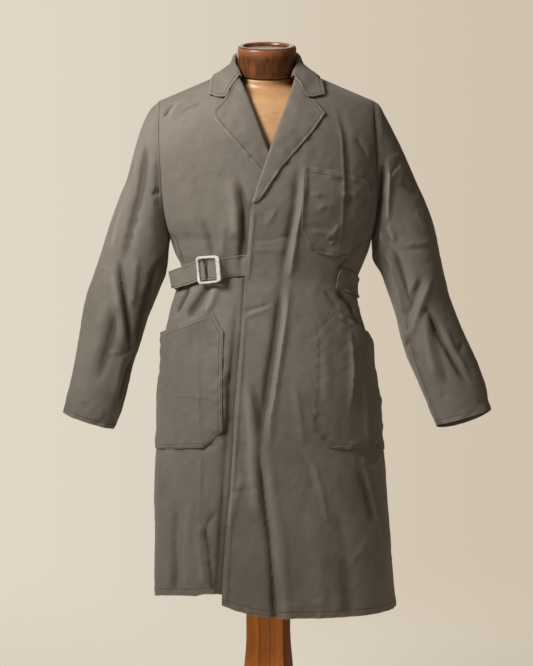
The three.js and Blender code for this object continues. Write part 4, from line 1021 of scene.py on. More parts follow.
def collar_section(place, side):
    edge_marks = []
    for row, face in zip(COLLAR, COLLAR_FACES):
        x = side * row["edgeX"]
        if face == "seam":
            edge_marks.append((x, shoulder_y(x), shoulder_z(x) + COLLAR_REST))
        else:
            turn = place_of(x, row["edgeZ"], face == "back")[0]
            edge_marks.append(laid(turn, row["edgeZ"], COLLAR_REST))
    at = at_place(COLLAR, place)
    seam = np.array([side * at["seamX"], at["seamY"], at["seamZ"]])
    roll = np.array([side * at["rollX"], at["rollY"], at["rollZ"]])
    edge = np.array(list(at_place(table("x y z", edge_marks), place).values()))
    out = unit(np.array([roll[0], roll[1] + 4, 0.0]))
    up = np.array([0.0, 0.0, 1.0])
    away = (place - COLLAR_SAG["at"]) / COLLAR_SAG["spread"]
    puff = COLLAR_PUFF - COLLAR_SAG["deep"] * np.exp(-(away ** 2))
    return [
        seam, mix(seam, roll, 0.55), roll - out * COLLAR_ROLL, roll + up * COLLAR_ROLL,
        roll + out * COLLAR_ROLL + up * 0.5,
        mix(roll, edge, 0.4) + (out + up) * puff, mix(roll, edge, 0.75) + up * puff, edge,
    ]


def refine(grid, rows, columns):
    """A grid drawn through a coarser one on smooth curves, both ways."""
    for axis, count in ((0, rows), (1, columns)):
        grid = np.moveaxis(np.asarray(grid, float), axis, 0)
        last = len(grid) - 1
        slope = np.gradient(grid, axis=0)
        at = np.linspace(0, last, count)
        k = np.minimum(at.astype(int), last - 1)
        t = (at - k).reshape(-1, 1, 1)
        s = t * t * (3 - 2 * t)
        lean = t * (1 - t) ** 2 * slope[k] - t * t * (1 - t) * slope[k + 1]
        grid = np.moveaxis(mix(grid[k], grid[k + 1], s) + lean, 0, axis)
    return grid


def collar_sheet(steps, rows, columns):
    front = {}
    for side in (-1, 1):
        spots = []
        for row in COLLAR_FRONT:
            turn = place_of(side * row["x"], row["z"])[0]
            spots.append(laid(turn, row["z"], row["out"]))
        front[side] = spots
    last = len(COLLAR) - 1
    lines = [front[-1]]
    for k in range(-steps, steps + 1):
        lines.append(collar_section(abs(k) / steps * last, -1 if k < 0 else 1))
    lines.append(front[1])
    base = refine(np.array(lines), rows, columns)
    height = UNEVEN_COLLAR * unevenness(base)
    height = height * smooth(np.linspace(0, 1, columns)[None, :] / 0.3)
    return Sheet(base, grid_normals(base), height, stitched=("right", "bottom", "top"),
                 rows=(LAPEL_ROW,))


# Pockets
POCKET_ROWS = (1.8, 7.5)
MOUTH_ROW = 12.0
HIP_GAPE = 7.0
CHEST_GAPE = 1.4
MOUTH_START = 0.72
POCKET_CHEST = {
    "left": [spot(86, 1127), spot(66, 1163), spot(69, 1249), spot(73, 1291)],
    "right": [spot(153, 1111), spot(184, 1133), spot(206, 1225), spot(203, 1258)],
    "bottom": [spot(86, 1127), spot(153, 1111)],
    "top": [spot(73, 1291), spot(126, 1282), spot(156, 1274), spot(203, 1258)],
}
POCKET_RIGHT = {
    "left": [turn_spot(-88, 729), turn_spot(-88, 956)],
    "right": [spot(-121, 747), spot(-85, 781), spot(-83, 970), spot(-105, 1010)],
    "bottom": [turn_spot(-88, 729), spot(-121, 747)],
    "top": [turn_spot(-88, 956), spot(-160, 986), spot(-105, 1010)],
}
POCKET_LEFT = {
    "left": [spot(120, 747), spot(87, 786), spot(91, 980), spot(125, 1012)],
    "right": [turn_spot(88, 726), turn_spot(88, 946)],
    "bottom": [spot(120, 747), spot(181, 739), turn_spot(88, 726)],
    "top": [spot(125, 1012), spot(168, 985), turn_spot(88, 946)],
}
POCKET_CREASES = table("line width height sharp", [
    ([(112, 1150), (130, 1167), (141, 1182)], 5, 2.2, 1.6),
    ([(142, 1240), (160, 1239), (175, 1233)], 4, 2.2, 1.5),
    ([(114, 1272), (135, 1269), (146, 1283)], 4, 2, 1.5),
    ([(84, 1239), (103, 1235)], 4, 1.7, 1.6),
    ([(84, 1166), (114, 1163), (141, 1160)], 5, 1.5, 1.8),
    ([(96, 1210), (112, 1216), (128, 1212)], 6, 1.3, 2),
    ([(120, 1140), (134, 1152)], 4, 1.6, 1.6),
    ([(161, 975), (166, 896), (160, 812)], 5, 3, 1.5),
    ([(192, 865), (196, 740)], 7, 2, 1.8),
    ([(-140, 975), (-132, 911), (-128, 748)], 3.2, 2, 1.2),
    ([(-192, 846), (-140, 844), (-90, 842)], 3, 0.9, 1.3),
    ([(-176, 960), (-180, 900), (-176, 840)], 10, 2, 2),
    ([(110, 950), (116, 880), (112, 820)], 12, 1.5, 2),
])
POCKET_LINES = body_lines([{**crease, "open": False} for crease in POCKET_CREASES], False)


def pocket_sheet(outline, columns, rows, lift_of, gape, mouth_row):
    places, u, v = fill(outline, columns, rows)
    turn = places[..., 0]
    low, rise = row_at(turn, places[..., 1])
    out = lift_of(turn, low, rise) + WALL + ON_TOP + gape(u, v)
    inside = smooth(np.minimum(np.minimum(u, 1 - u), np.minimum(v, 1 - v)) / 0.09)
    return coat_sheet(turn, low, rise, out, relief=(POCKET_LINES, inside),
                      stitched=("left", "right", "bottom"), rows=POCKET_ROWS, mouth=("top",),
                      mouth_row=mouth_row, pressed=SEWN_DOWN)


def hip_mouth(v):
    return HIP_GAPE * smooth((v - MOUTH_START) / (1 - MOUTH_START))


# Belt and its buckle
BELT_WIDTH = 39.0
BELT_WALL = 1.8
BELT_SLACK = 0.4
BELT_ROW = 3.0
BELT = table("turn z", [
    (46, 1073), (62, 1064), (90, 1048), (130, 1042), (180, 1042), (230, 1050), (270, 1066),
    (300, 1078), (310, 1084),
])
BUCKLE = {"x": -113.0, "y": -101.0, "z": 1091.0, "width": 46.0, "height": 48.0, "wire": 2.2,
          "corner": 6.0}
BUCKLE_TURN = 31.0
BUCKLE_ROLL = 6.0
THICK_END = {"at": -4.0, "wire": 3.6}
BUCKLE_PLACE = (
    Matrix.Translation((BUCKLE["x"], BUCKLE["y"], BUCKLE["z"]))
    @ Matrix.Rotation(math.radians(-BUCKLE_TURN), 4, "Z")
    @ Matrix.Rotation(math.radians(-BUCKLE_ROLL), 4, "Y")
)


def buckle_point(u, w, depth):
    return np.array(BUCKLE_PLACE @ Vector((u, -depth, w)))


def belt_band_sheet(columns, rows):
    height_of = curve(BELT, "turn", "z")
    full = np.linspace(BELT[0]["turn"], BELT[-1]["turn"], columns)[None, :]
    share = np.linspace(-0.5, 0.5, rows)[:, None]
    z = height_of(full) + share * BELT_WIDTH
    turn = wrapped(full) + 0 * z
    low, rise = row_at(turn, z)
    lift = np.where(turn > 0, over_lift(turn, low, rise), 0)
    out = lift + ON_TOP + BELT_WALL + BELT_SLACK
    return coat_sheet(turn, low, rise, out, stitched=("bottom", "top"), rows=(BELT_ROW,))


def strap_sheet(stations, columns, rows):
    lines = np.array([[middle - half, middle, middle + half] for middle, half in stations])
    base = refine(np.swapaxes(lines, 0, 1), rows, columns)
    normals = grid_normals(base)
    return Sheet(base, normals, UNEVEN_STRAP * unevenness(base), stitched=("bottom", "top"),
                 rows=(BELT_ROW,))


def coat_station(x, z, out):
    low = laid(place_of(x, z - BELT_WIDTH / 2)[0], z - BELT_WIDTH / 2, out)
    high = laid(place_of(x, z + BELT_WIDTH / 2)[0], z + BELT_WIDTH / 2, out)
    return (low + high) / 2, (high - low) / 2


def buckle_station(u, depth):
    middle = buckle_point(u, 0, depth)
    return middle, buckle_point(u, BELT_WIDTH / 2, depth) - middle


UNDER_FRAME = -BUCKLE["wire"] - 2 * SEAM
TAIL_STATIONS = [
    (np.array([-190.0, -37, 1067]), np.array([-2.5, 0, 17])),
    (np.array([-176.0, -53, 1072]), np.array([-2.0, 0, 18.5])),
    (np.array([-156.0, -71, 1079]), np.array([-1.5, 0, 19.2])),
    buckle_station(-BUCKLE["width"] / 2 - 3, UNDER_FRAME),
    buckle_station(-BUCKLE["width"] / 2 + 5, UNDER_FRAME),
    buckle_station(THICK_END["at"] - 9, UNDER_FRAME + 1),
    buckle_station(THICK_END["at"] - 6.6, UNDER_FRAME + 0.4),
    buckle_station(THICK_END["at"] - 5.6, UNDER_FRAME - 2.2),
]
TAB_STATIONS = [
    buckle_station(THICK_END["at"] - 0.4, UNDER_FRAME - 2.2),
    buckle_station(THICK_END["at"] + 0.6, UNDER_FRAME + 0.4),
    buckle_station(THICK_END["at"] + 3.4, UNDER_FRAME + 1),
    buckle_station(BUCKLE["width"] / 2 - 5, UNDER_FRAME),
    buckle_station(BUCKLE["width"] / 2 + 3, UNDER_FRAME),
    coat_station(-74, 1096, 4.6),
    coat_station(-58, 1098, 3),
    coat_station(-46, 1099, 2.3),
    coat_station(-30, 1099.5, 2.2),
]


# Sewing thread: one stitch is modelled, and copies of it are laid along each row
STITCH = {"length": 2.5, "step": 3.4, "radius": 0.3, "bury": 0.35}
BAR_STITCHES = 14


def model_stitch():
    deselect()
    bpy.ops.mesh.primitive_cylinder_add(
        vertices=5, radius=STITCH["radius"] * MM, depth=STITCH["length"] * 0.6 * MM,
        rotation=(0, math.pi / 2, 0), enter_editmode=True,
    )
    obj = bpy.context.object
    bpy.ops.mesh.select_all(action="DESELECT")
    object_mode()
    apply_place()
    for side in (-1, 1):
        bpy.ops.object.mode_set(mode="EDIT")
        bpy.ops.mesh.select_all(action="DESELECT")
        object_mode()
        for face in obj.data.polygons:
            face.select = face.normal.x * side > 0.9
        bpy.ops.object.mode_set(mode="EDIT")
        reach = STITCH["length"] * 0.2 * MM
        bpy.ops.mesh.extrude_region_move(
            TRANSFORM_OT_translate={"value": (side * reach, 0, -STITCH["bury"] * MM)})
        bpy.ops.transform.resize(value=(0.7, 0.7, 0.7))
    object_mode()
    shade(60)
    return obj


def lay_stitches(template, line, normals, step=STITCH["step"]):
    lengths = np.linalg.norm(np.diff(line, axis=0), axis=1)
    run = np.concatenate([[0], np.cumsum(lengths)])
    places = np.arange(step, run[-1] - step / 2, step)
    copies = []
    for at in places:
        before, middle, after = (
            np.array([np.interp(at + off, run, line[:, k]) for k in range(3)])
            for off in (-STITCH["length"] / 2, 0, STITCH["length"] / 2)
        )
        normal = unit(np.array([np.interp(at, run, normals[:, k]) for k in range(3)]))
        copies.append(place_stitch(template, (before + middle + after) / 3, after - before, normal))
    return copies


def place_stitch(template, middle, heading, normal):
    heading = unit(heading)
    across = unit(np.cross(normal, heading))
    upward = np.cross(heading, across)
    copy = template.copy()
    copy.data = template.data.copy()
    place = to_metres(middle + upward * 0.08)
    frame_of = np.eye(4)
    frame_of[:3, 0], frame_of[:3, 1], frame_of[:3, 2], frame_of[:3, 3] = heading, across, upward, place
    copy.matrix_world = Matrix(frame_of.tolist())
    bpy.context.scene.collection.objects.link(copy)
    return copy


def lay_bar(template, middle, heading, normal):
    """A bar tack: stitches close side by side across the heading."""
    heading, normal = unit(np.array(heading, float)), unit(np.array(normal, float))
    across = unit(np.cross(normal, heading))
    copies = []
    for k in range(BAR_STITCHES):
        at = middle + heading * (k - BAR_STITCHES / 2) * 0.55 + normal * 0.15
        copies.append(place_stitch(template, at, across, normal))
    return copies


def join_thread(name, copies, material):
    deselect()
    for copy in copies:
        copy.select_set(True)
    first = copies[0]
    bpy.context.view_layer.objects.active = first
    bpy.ops.object.join()
    first.name = name
    apply_place()
    return rides(first, material)


def settle(sheet, line, sideways=0.0):
    """Lays a line on a sheet's surface, moved to one side of itself."""
    flat, upright = sheet.points.reshape(-1, 3), sheet.normals.reshape(-1, 3)
    line = on_line(line, 80)
    heading = unit(np.gradient(line, axis=0))
    spots, normals = [], []
    for point, ahead in zip(line, heading):
        k = np.argmin(((flat - point) ** 2).sum(1))
        point = flat[k] + sideways * unit(np.cross(upright[k], ahead))
        k = np.argmin(((flat - point) ** 2).sum(1))
        spots.append(point - upright[k] * ((point - flat[k]) @ upright[k]))
        normals.append(upright[k])
    return np.array(spots), np.array(normals)


# Materials
def rgb(red, green, blue):
    """A colour given as 0 to 255, as the shader's own linear light."""
    values = [channel / 255 for channel in (red, green, blue)]
    linear = [v / 12.92 if v < 0.04045 else ((v + 0.055) / 1.055) ** 2.4 for v in values]
    return (*linear, 1.0)


class Nodes:
    """Adds shader nodes and links them."""

    def __init__(self, tree):
        self.tree = tree

    def add(self, kind, inputs=None, **settings):
        node = self.tree.nodes.new(kind)
        for key, value in settings.items():
            setattr(node, key, value)
        self.fill(node, inputs or {})
        return node

    def fill(self, node, inputs):
        for key, value in inputs.items():
            self.put(node.inputs[key], value)

    def put(self, socket, value):
        if isinstance(value, bpy.types.NodeSocket):
            self.tree.links.new(value, socket)
        else:
            socket.default_value = value

    def math(self, operation, a, b=0.0, c=0.0):
        return self.add("ShaderNodeMath", {0: a, 1: b, 2: c}, operation=operation).outputs[0]

    def ramp(self, value, low, high, start=0.0, end=1.0):
        inputs = {"Value": value, "From Min": low, "From Max": high, "To Min": start, "To Max": end}
        node = self.add("ShaderNodeMapRange", inputs, interpolation_type="SMOOTHSTEP")
        return node.outputs["Result"]

    def blend(self, share, a, b):
        inputs = {"Factor": share, 6: a, 7: b}
        return self.add("ShaderNodeMix", inputs, data_type="RGBA").outputs[2]

    def layers(self, tone, rows):
        """Lays colours over a tone, each by its own share."""
        for share, colour in rows:
            tone = self.blend(share, tone, rgb(*colour))
        return tone

    def noise(self, vector, scale, detail=3.0, roughness=0.55):
        inputs = {"Vector": vector, "Scale": scale, "Detail": detail, "Roughness": roughness}
        return self.add("ShaderNodeTexNoise", inputs).outputs["Fac"]

    def streaks(self, vector, scale, detail=3.0, roughness=0.55):
        """Noise that is stretched by its own scale each way."""
        mapped = self.add("ShaderNodeMapping", {"Vector": vector, "Scale": scale})
        return self.noise(mapped.outputs["Vector"], 1.0, detail, roughness)

    def bump(self, height, distance, strength=1.0, normal=None):
        inputs = {"Height": height, "Distance": distance, "Strength": strength}
        if normal is not None:
            inputs["Normal"] = normal
        return self.add("ShaderNodeBump", inputs).outputs["Normal"]

    def read(self, name):
        return self.add("ShaderNodeAttribute", attribute_name=name).outputs["Fac"]


def new_material(name):
    material = bpy.data.materials.new(name)
    material.use_nodes = True
    nodes = Nodes(material.node_tree)
    place = nodes.add("ShaderNodeTexCoord").outputs["Object"]
    return material, nodes, nodes.ramp, place


def dressed(material, nodes, inputs):
    """Sets and links the shader's own sockets."""
    nodes.fill(material.node_tree.nodes["Principled BSDF"], inputs)
    return material


TWILL_PITCH = 0.0011
TWILL_ANGLE = 63


def cloth_material():
    material, nodes, ramp, place = new_material("cotton_twill")
    cut = nodes.add("ShaderNodeUVMap", uv_map="cut").outputs["UV"]
    turned = nodes.add("ShaderNodeMapping", {
        "Vector": cut, "Rotation": (0, 0, math.radians(TWILL_ANGLE)),
        "Scale": (1 / TWILL_PITCH, 1 / TWILL_PITCH, 1),
    }).outputs["Vector"]
    waver = nodes.noise(cut, 900, 2)
    split = nodes.add("ShaderNodeSeparateXYZ", {0: turned})
    rib_at = nodes.math("MULTIPLY_ADD", waver, 0.5, split.outputs["X"])
    rib = nodes.math("SINE", nodes.math("MULTIPLY", rib_at, 2 * math.pi))
    broad = nodes.noise(place, 5.5, 4)
    patches = nodes.noise(place, 34, 5, 0.62)
    slub = nodes.streaks(cut, (260, 1400, 1), 2)
    warp = nodes.streaks(cut, (620, 26, 1), 3, 0.6)
    weft = nodes.streaks(cut, (22, 560, 1), 3, 0.6)
    fold = nodes.read("fold")
    # Lighter along rims in random patches: wear, and along the over front's bare edge also a painted
    # highlight
    worn = nodes.math("MULTIPLY", ramp(nodes.read("rim"), 0.0026, 0.0004), ramp(patches, 0.3, 0.6))
    # Rows of stitches: a painted shade in their grooves, with a bump as well
    groove = 0.0
    for name in ("row_a", "row_b", "row_c"):
        away = nodes.math("ABSOLUTE", nodes.read(name))
        groove = nodes.math("MAXIMUM", groove, ramp(away, 0.0013, 0.0004))
    cloth = nodes.blend(ramp(broad, 0.36, 0.66), rgb(117, 109, 100), rgb(128, 120, 110))
    cloth = nodes.layers(cloth, [
        (ramp(patches, 0.4, 0.75, 0, 0.18), (146, 138, 126)),
        (ramp(patches, 0.5, 0.25, 0, 0.18), (98, 90, 79)),
        (ramp(slub, 0.5, 0.8, 0, 0.3), (152, 144, 131)),
        (ramp(warp, 0.5, 0.78, 0, 0.42), (150, 142, 129)),
        (ramp(weft, 0.5, 0.78, 0, 0.34), (94, 86, 75)),
        (ramp(rib, -1, 1, 0.12, 0), (92, 82, 70)),
        # Painted highlight on fold ridges and painted shade in fold troughs
        (ramp(fold, 1.2, 5.0, 0, 0.34), (162, 154, 142)),
        (ramp(fold, -1.0, -5.5, 0, 0.62), (66, 59, 51)),
        (nodes.math("MULTIPLY", worn, 0.5), (168, 160, 146)),
        # painted shade along rows of stitches
        (nodes.math("MULTIPLY", groove, 0.5), (56, 49, 41)),
    ])
    weave = nodes.bump(rib, 0.00012, 0.7)
    grain = nodes.bump(patches, 0.0004, 0.5, weave)
    return dressed(material, nodes, {
        "Base Color": cloth, "Roughness": ramp(patches, 0.3, 0.7, 0.78, 0.92),
        "Sheen Weight": 0.35, "Sheen Roughness": 0.45, "Sheen Tint": rgb(214, 206, 190),
        "Specular IOR Level": 0.25, "Normal": nodes.bump(groove, -0.0005, 0.8, grain),
    })


def thread_material():
    material, nodes, ramp, place = new_material("sewing_thread")
    tone = nodes.noise(place, 40, 3)
    twist = nodes.noise(place, 2400, 1)
    return dressed(material, nodes, {
        "Base Color": nodes.blend(ramp(tone, 0.3, 0.7), rgb(96, 88, 77), rgb(136, 128, 115)),
        "Roughness": ramp(tone, 0.3, 0.7, 0.55, 0.7), "Sheen Weight": 0.2,
        "Normal": nodes.bump(twist, 0.0001, 0.5),
    })


def cover_material():
    material, nodes, ramp, place = new_material("varnished_cover")
    broad = nodes.streaks(place, (9, 9, 5), 5, 0.6)
    strokes = nodes.streaks(place, (26, 26, 150), 4)
    freckle = nodes.noise(place, 130, 4, 0.7)
    tone = nodes.blend(ramp(broad, 0.32, 0.68), rgb(186, 136, 88), rgb(212, 168, 118))
    tone = nodes.layers(tone, [
        (ramp(strokes, 0.45, 0.75, 0, 0.35), (178, 124, 74)),
        (ramp(freckle, 0.62, 0.74, 0, 0.5), (150, 100, 58)),
    ])
    ripple = nodes.bump(strokes, 0.0008, 0.4)
    return dressed(material, nodes, {
        "Base Color": tone, "Roughness": ramp(strokes, 0.3, 0.7, 0.42, 0.6),
        "Coat Weight": 0.25, "Coat Roughness": 0.3,
        "Normal": nodes.bump(freckle, 0.0003, 0.4, ripple),
    })


def cap_material():
    material, nodes, ramp, place = new_material("dark_varnished_wood")
    grain = nodes.streaks(place, (110, 110, 7), 4, 0.6)
    fine = nodes.streaks(place, (420, 420, 40), 3)
    broad = nodes.noise(place, 16, 3)
    worn = nodes.math("MULTIPLY", nodes.read("rim"), ramp(broad, 0.25, 0.6, 0.3, 0.8))
    tone = nodes.blend(ramp(grain, 0.36, 0.66), rgb(82, 44, 20), rgb(122, 70, 33))
    tone = nodes.layers(tone, [
        (ramp(broad, 0.35, 0.7, 0, 0.45), (96, 50, 24)),
        (ramp(fine, 0.56, 0.72, 0, 0.3), (56, 28, 13)),
        (worn, (178, 112, 66)),
    ])
    return dressed(material, nodes, {
        "Base Color": tone, "Roughness": ramp(fine, 0.3, 0.7, 0.3, 0.46),
        "Coat Weight": 0.25, "Coat Roughness": 0.2, "Normal": nodes.bump(grain, 0.0004, 0.45),
    })


def post_material():
    material, nodes, ramp, place = new_material("glued_boards")
    grain = nodes.streaks(place, (70, 70, 3.2), 5, 0.62)
    pores = nodes.streaks(place, (520, 520, 26), 3, 0.6)
    broad = nodes.streaks(place, (14, 14, 3), 3)
    joint = nodes.read("joint")
    # The post's right face is drawn in painted shade: a darker tone, with less specular and coat
    side = nodes.read("side")
    tone = nodes.blend(ramp(grain, 0.34, 0.68), rgb(226, 122, 28), rgb(250, 160, 62))
    tone = nodes.layers(tone, [
        (ramp(broad, 0.3, 0.7, 0, 0.35), (184, 98, 32)),
        (nodes.math("MULTIPLY", nodes.read("board"), 0.35), (168, 88, 28)),
        (ramp(pores, 0.56, 0.74, 0, 0.5), (120, 60, 22)),
        (nodes.math("MULTIPLY", joint, 0.6), (58, 28, 12)),
        (nodes.math("MULTIPLY", side, 0.8), (84, 40, 18)),
    ])
    shallow = nodes.bump(grain, 0.0006, 0.5)
    return dressed(material, nodes, {
        "Base Color": tone, "Roughness": ramp(pores, 0.3, 0.7, 0.42, 0.6),
        "Specular IOR Level": nodes.math("MULTIPLY_ADD", side, -0.46, 0.5),
        "Coat Weight": nodes.math("MULTIPLY_ADD", side, -0.3, 0.3), "Coat Roughness": 0.28,
        "Normal": nodes.bump(joint, -0.0008, 0.8, shallow),
    })


def steel_material(name, bright, dull):
    material, nodes, ramp, place = new_material(name)
    scuffs = nodes.streaks(place, (300, 900, 900), 4, 0.7)
    stain = nodes.noise(place, 160, 4, 0.6)
    tone = nodes.blend(ramp(stain, 0.42, 0.7), bright, dull)
    tone = nodes.layers(tone, [(ramp(scuffs, 0.6, 0.8, 0, 0.3), (130, 120, 106))])
    return dressed(material, nodes, {
        "Base Color": tone, "Metallic": 0.35, "Roughness": ramp(scuffs, 0.3, 0.75, 0.26, 0.5),
        "Normal": nodes.bump(scuffs, 0.0001, 0.4),
    })


CLOTH = cloth_material()
THREAD = thread_material()
COVER = cover_material()
CAP_WOOD = cap_material()
POST_WOOD = post_material()
STEEL = steel_material("worn_steel", rgb(240, 238, 233), rgb(205, 200, 190))
# The bar's steel is darker for tarnish and a painted shade
BAR_STEEL = steel_material("tarnished_shaded_steel", rgb(120, 112, 102), rgb(70, 62, 54))


# The coat's sheets
sleeve_right, seam_right = sleeve_sheet(SLEEVE_RIGHT, SLEEVE_RIGHT_CREASES, -1)
sleeve_left, seam_left = sleeve_sheet(SLEEVE_LEFT, SLEEVE_LEFT_CREASES, 1)
SHEETS = {
    "front_right": front_panel(under_edge, -1, 112, no_lift),
    "front_left": front_panel(front_edge, 1, 156, over_lift),
    "back_panel": back_panel(122),
    "sleeve_right": sleeve_right,
    "sleeve_left": sleeve_left,
    "lapel_right": lapel_sheet(LAPEL_RIGHT, -1, 44, 110, no_lift),
    "lapel_left": lapel_sheet(LAPEL_LEFT, 1, 44, 120, over_lift),
    "collar": collar_sheet(10, 190, 40),
    "pocket_chest": pocket_sheet(POCKET_CHEST, 60, 76, over_lift, lambda u, v: CHEST_GAPE * u, 10),
    "pocket_right": pocket_sheet(
        POCKET_RIGHT, 60, 110, no_lift, lambda u, v: hip_mouth(v) * (1 - u), MOUTH_ROW),
    "pocket_left": pocket_sheet(
        POCKET_LEFT, 60, 110, over_lift, lambda u, v: hip_mouth(v) * u, MOUTH_ROW),
    "belt_band": belt_band_sheet(260, 20),
    "belt_tail": strap_sheet(TAIL_STATIONS, 60, 20),
    "belt_tab": strap_sheet(TAB_STATIONS, 80, 20),
}
BELT_PIECES = ("belt_band", "belt_tail", "belt_tab")
SLEEVE_PIECES = ("sleeve_right", "sleeve_left")

# Each cut piece: flat width and length in metres, share of that rectangle, hold, and support
CUTS = table("name width length share held on", [
    ("front_right", 0.40, 1.09, 0.72, "hung", ["form_torso"]),
    ("front_left", 0.47, 1.10, 0.72, "hung", ["form_torso"]),
    ("back_panel", 0.62, 1.10, 0.84, "hung", ["form_torso"]),
    ("sleeve_right", 0.46, 0.67, 0.80, "hung", ["form_torso"]),
    ("sleeve_left", 0.46, 0.67, 0.80, "hung", ["form_torso"]),
    ("lapel_right", 0.12, 0.25, 0.42, "folded", ["front_right"]),
    ("lapel_left", 0.13, 0.29, 0.42, "folded", ["front_left"]),
    ("collar", 0.48, 0.11, 0.80, "folded", ["back_panel"]),
    ("pocket_chest", 0.16, 0.18, 0.86, "laid", ["front_left"]),
    ("pocket_right", 0.19, 0.29, 0.86, "laid", ["front_right"]),
    ("pocket_left", 0.20, 0.29, 0.86, "laid", ["front_left"]),
    ("belt_band", 0.72, 0.039, 1.0, "laid", ["back_panel"]),
    ("belt_tail", 0.10, 0.039, 1.0, "folded", ["buckle_frame"]),
    ("belt_tab", 0.09, 0.039, 1.0, "laid", ["front_right"]),
])

for title, sheet in SHEETS.items():
    wall = BELT_WALL if title in BELT_PIECES else WALL
    piece = make_sheet(title + "_cloth", sheet, wall, title in SLEEVE_PIECES)
    rides(piece, CLOTH, (title,))

for cut in CUTS:
    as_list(cut["on"])
# Rows of stitches along every sewn side and mouth, and along the sleeves' seams
stitch = model_stitch()
thread = {title: [] for title in SHEETS}
for title, sheet in SHEETS.items():
    for side in sheet.stitched:
        for inset in sheet.rows:
            line, normals = sheet.row_of_stitches(side, inset)
            if len(line) >= 3:
                thread[title] += lay_stitches(stitch, line, normals)
    if sheet.mouth:
        line, normals = sheet.row_of_stitches("top", sheet.mouth_row, sheet.lip)
        thread[title] += lay_stitches(stitch, line, normals)
for title, seam in (("sleeve_right", seam_right), ("sleeve_left", seam_left)):
    for aside in SEAM_ROWS:
        thread[title] += lay_stitches(stitch, *settle(SHEETS[title], seam, aside))

# Fly row with its bar, the tab's box of stitches, and bars at the pockets' mouths
FLY_ROWS = [
    [(-42, 1044), (-10, 1043), (20, 1044)],
    [(-36, 1140), (-8, 1138), (16, 1137)],
]
TAB_BOX = [
    [(-36, 1123), (-37, 1100), (-39, 1076)], [(-25, 1123), (-26, 1100), (-28, 1076)],
    [(-37, 1121), (-24, 1120)], [(-39, 1078), (-27, 1077)],
    [(-37, 1107), (-25, 1106)], [(-38, 1092), (-26, 1091)],
]
for places in FLY_ROWS + TAB_BOX:
    points = [laid(place_of(x, z)[0], z, FLY_LIFT) for x, z in places]
    thread["front_left"] += lay_stitches(stitch, *settle(SHEETS["front_left"], points))
BARS = table("name x z", [
    ("front_left", 21, 1045), ("pocket_left", 120, 1004), ("pocket_right", -106, 1003),
    ("pocket_chest", 197, 1254), ("pocket_chest", 78, 1284),
])
for bar in BARS:
    sheet = SHEETS[bar["name"]]
    flat, upright = sheet.points.reshape(-1, 3), sheet.normals.reshape(-1, 3)
    k = np.argmin((flat[:, 0] - bar["x"]) ** 2 + (flat[:, 2] - bar["z"]) ** 2)
    thread[bar["name"]] += lay_bar(stitch, flat[k], (0, 0, 1), upright[k])
for title, copies in thread.items():
    join_thread(title + "_thread", copies, THREAD)
bpy.data.objects.remove(stitch)


# Steel buckle
def select(obj, kind, test):
    """Selects the faces or points that pass a test, and stays in edit mode."""
    edit_mode(kind)
    bpy.ops.mesh.select_all(action="DESELECT")
    object_mode()
    for part in obj.data.polygons if kind == "FACE" else obj.data.vertices:
        part.select = test(part)
    bpy.ops.object.mode_set(mode="EDIT")


def raise_face(height, scale=1.0):
    bpy.ops.mesh.extrude_region_move(TRANSFORM_OT_translate={"value": (0, 0, height)})
    if scale != 1.0:
        bpy.ops.transform.resize(value=(scale, scale, 1))


def stack(profile):
    """Raises the selected top face through rows of size and height."""
    for (size, height), (next_size, next_height) in zip(profile, profile[1:]):
        raise_face((next_height - height) * MM, next_size / size)


def close_up():
    """Leaves edit mode with the mesh welded and its faces outwards."""
    object_mode()
    edit_mode()
    bpy.ops.mesh.remove_doubles(threshold=0.00001)
    bpy.ops.mesh.normals_make_consistent(inside=False)
    object_mode()


def round_corners(corner, segments):
    """Cuts off the corners of a flat face that was just added."""
    edit_mode("VERT")
    bpy.ops.mesh.bevel(offset=corner * MM, segments=segments, affect="VERTICES")
    bpy.ops.mesh.select_all(action="SELECT")


def round_edges(obj, width, segments, angle=30):
    rounding = obj.modifiers.new("rounding", "BEVEL")
    rounding.width = width * MM
    rounding.segments = segments
    rounding.limit_method = "ANGLE"
    rounding.angle_limit = math.radians(angle)
    apply_modifiers(obj)


def stands(obj, place, node, look, material):
    """Puts a finished piece in its place instead of its node."""
    only(obj)
    obj.matrix_world = Matrix.Translation((SHIFT, 0, 0)) @ place
    apply_place()
    obj.name = node + "_" + look
    return rides(obj, material, (node,))


def in_metres(matrix):
    scaled = matrix.copy()
    scaled.translation = matrix.translation * MM
    return scaled


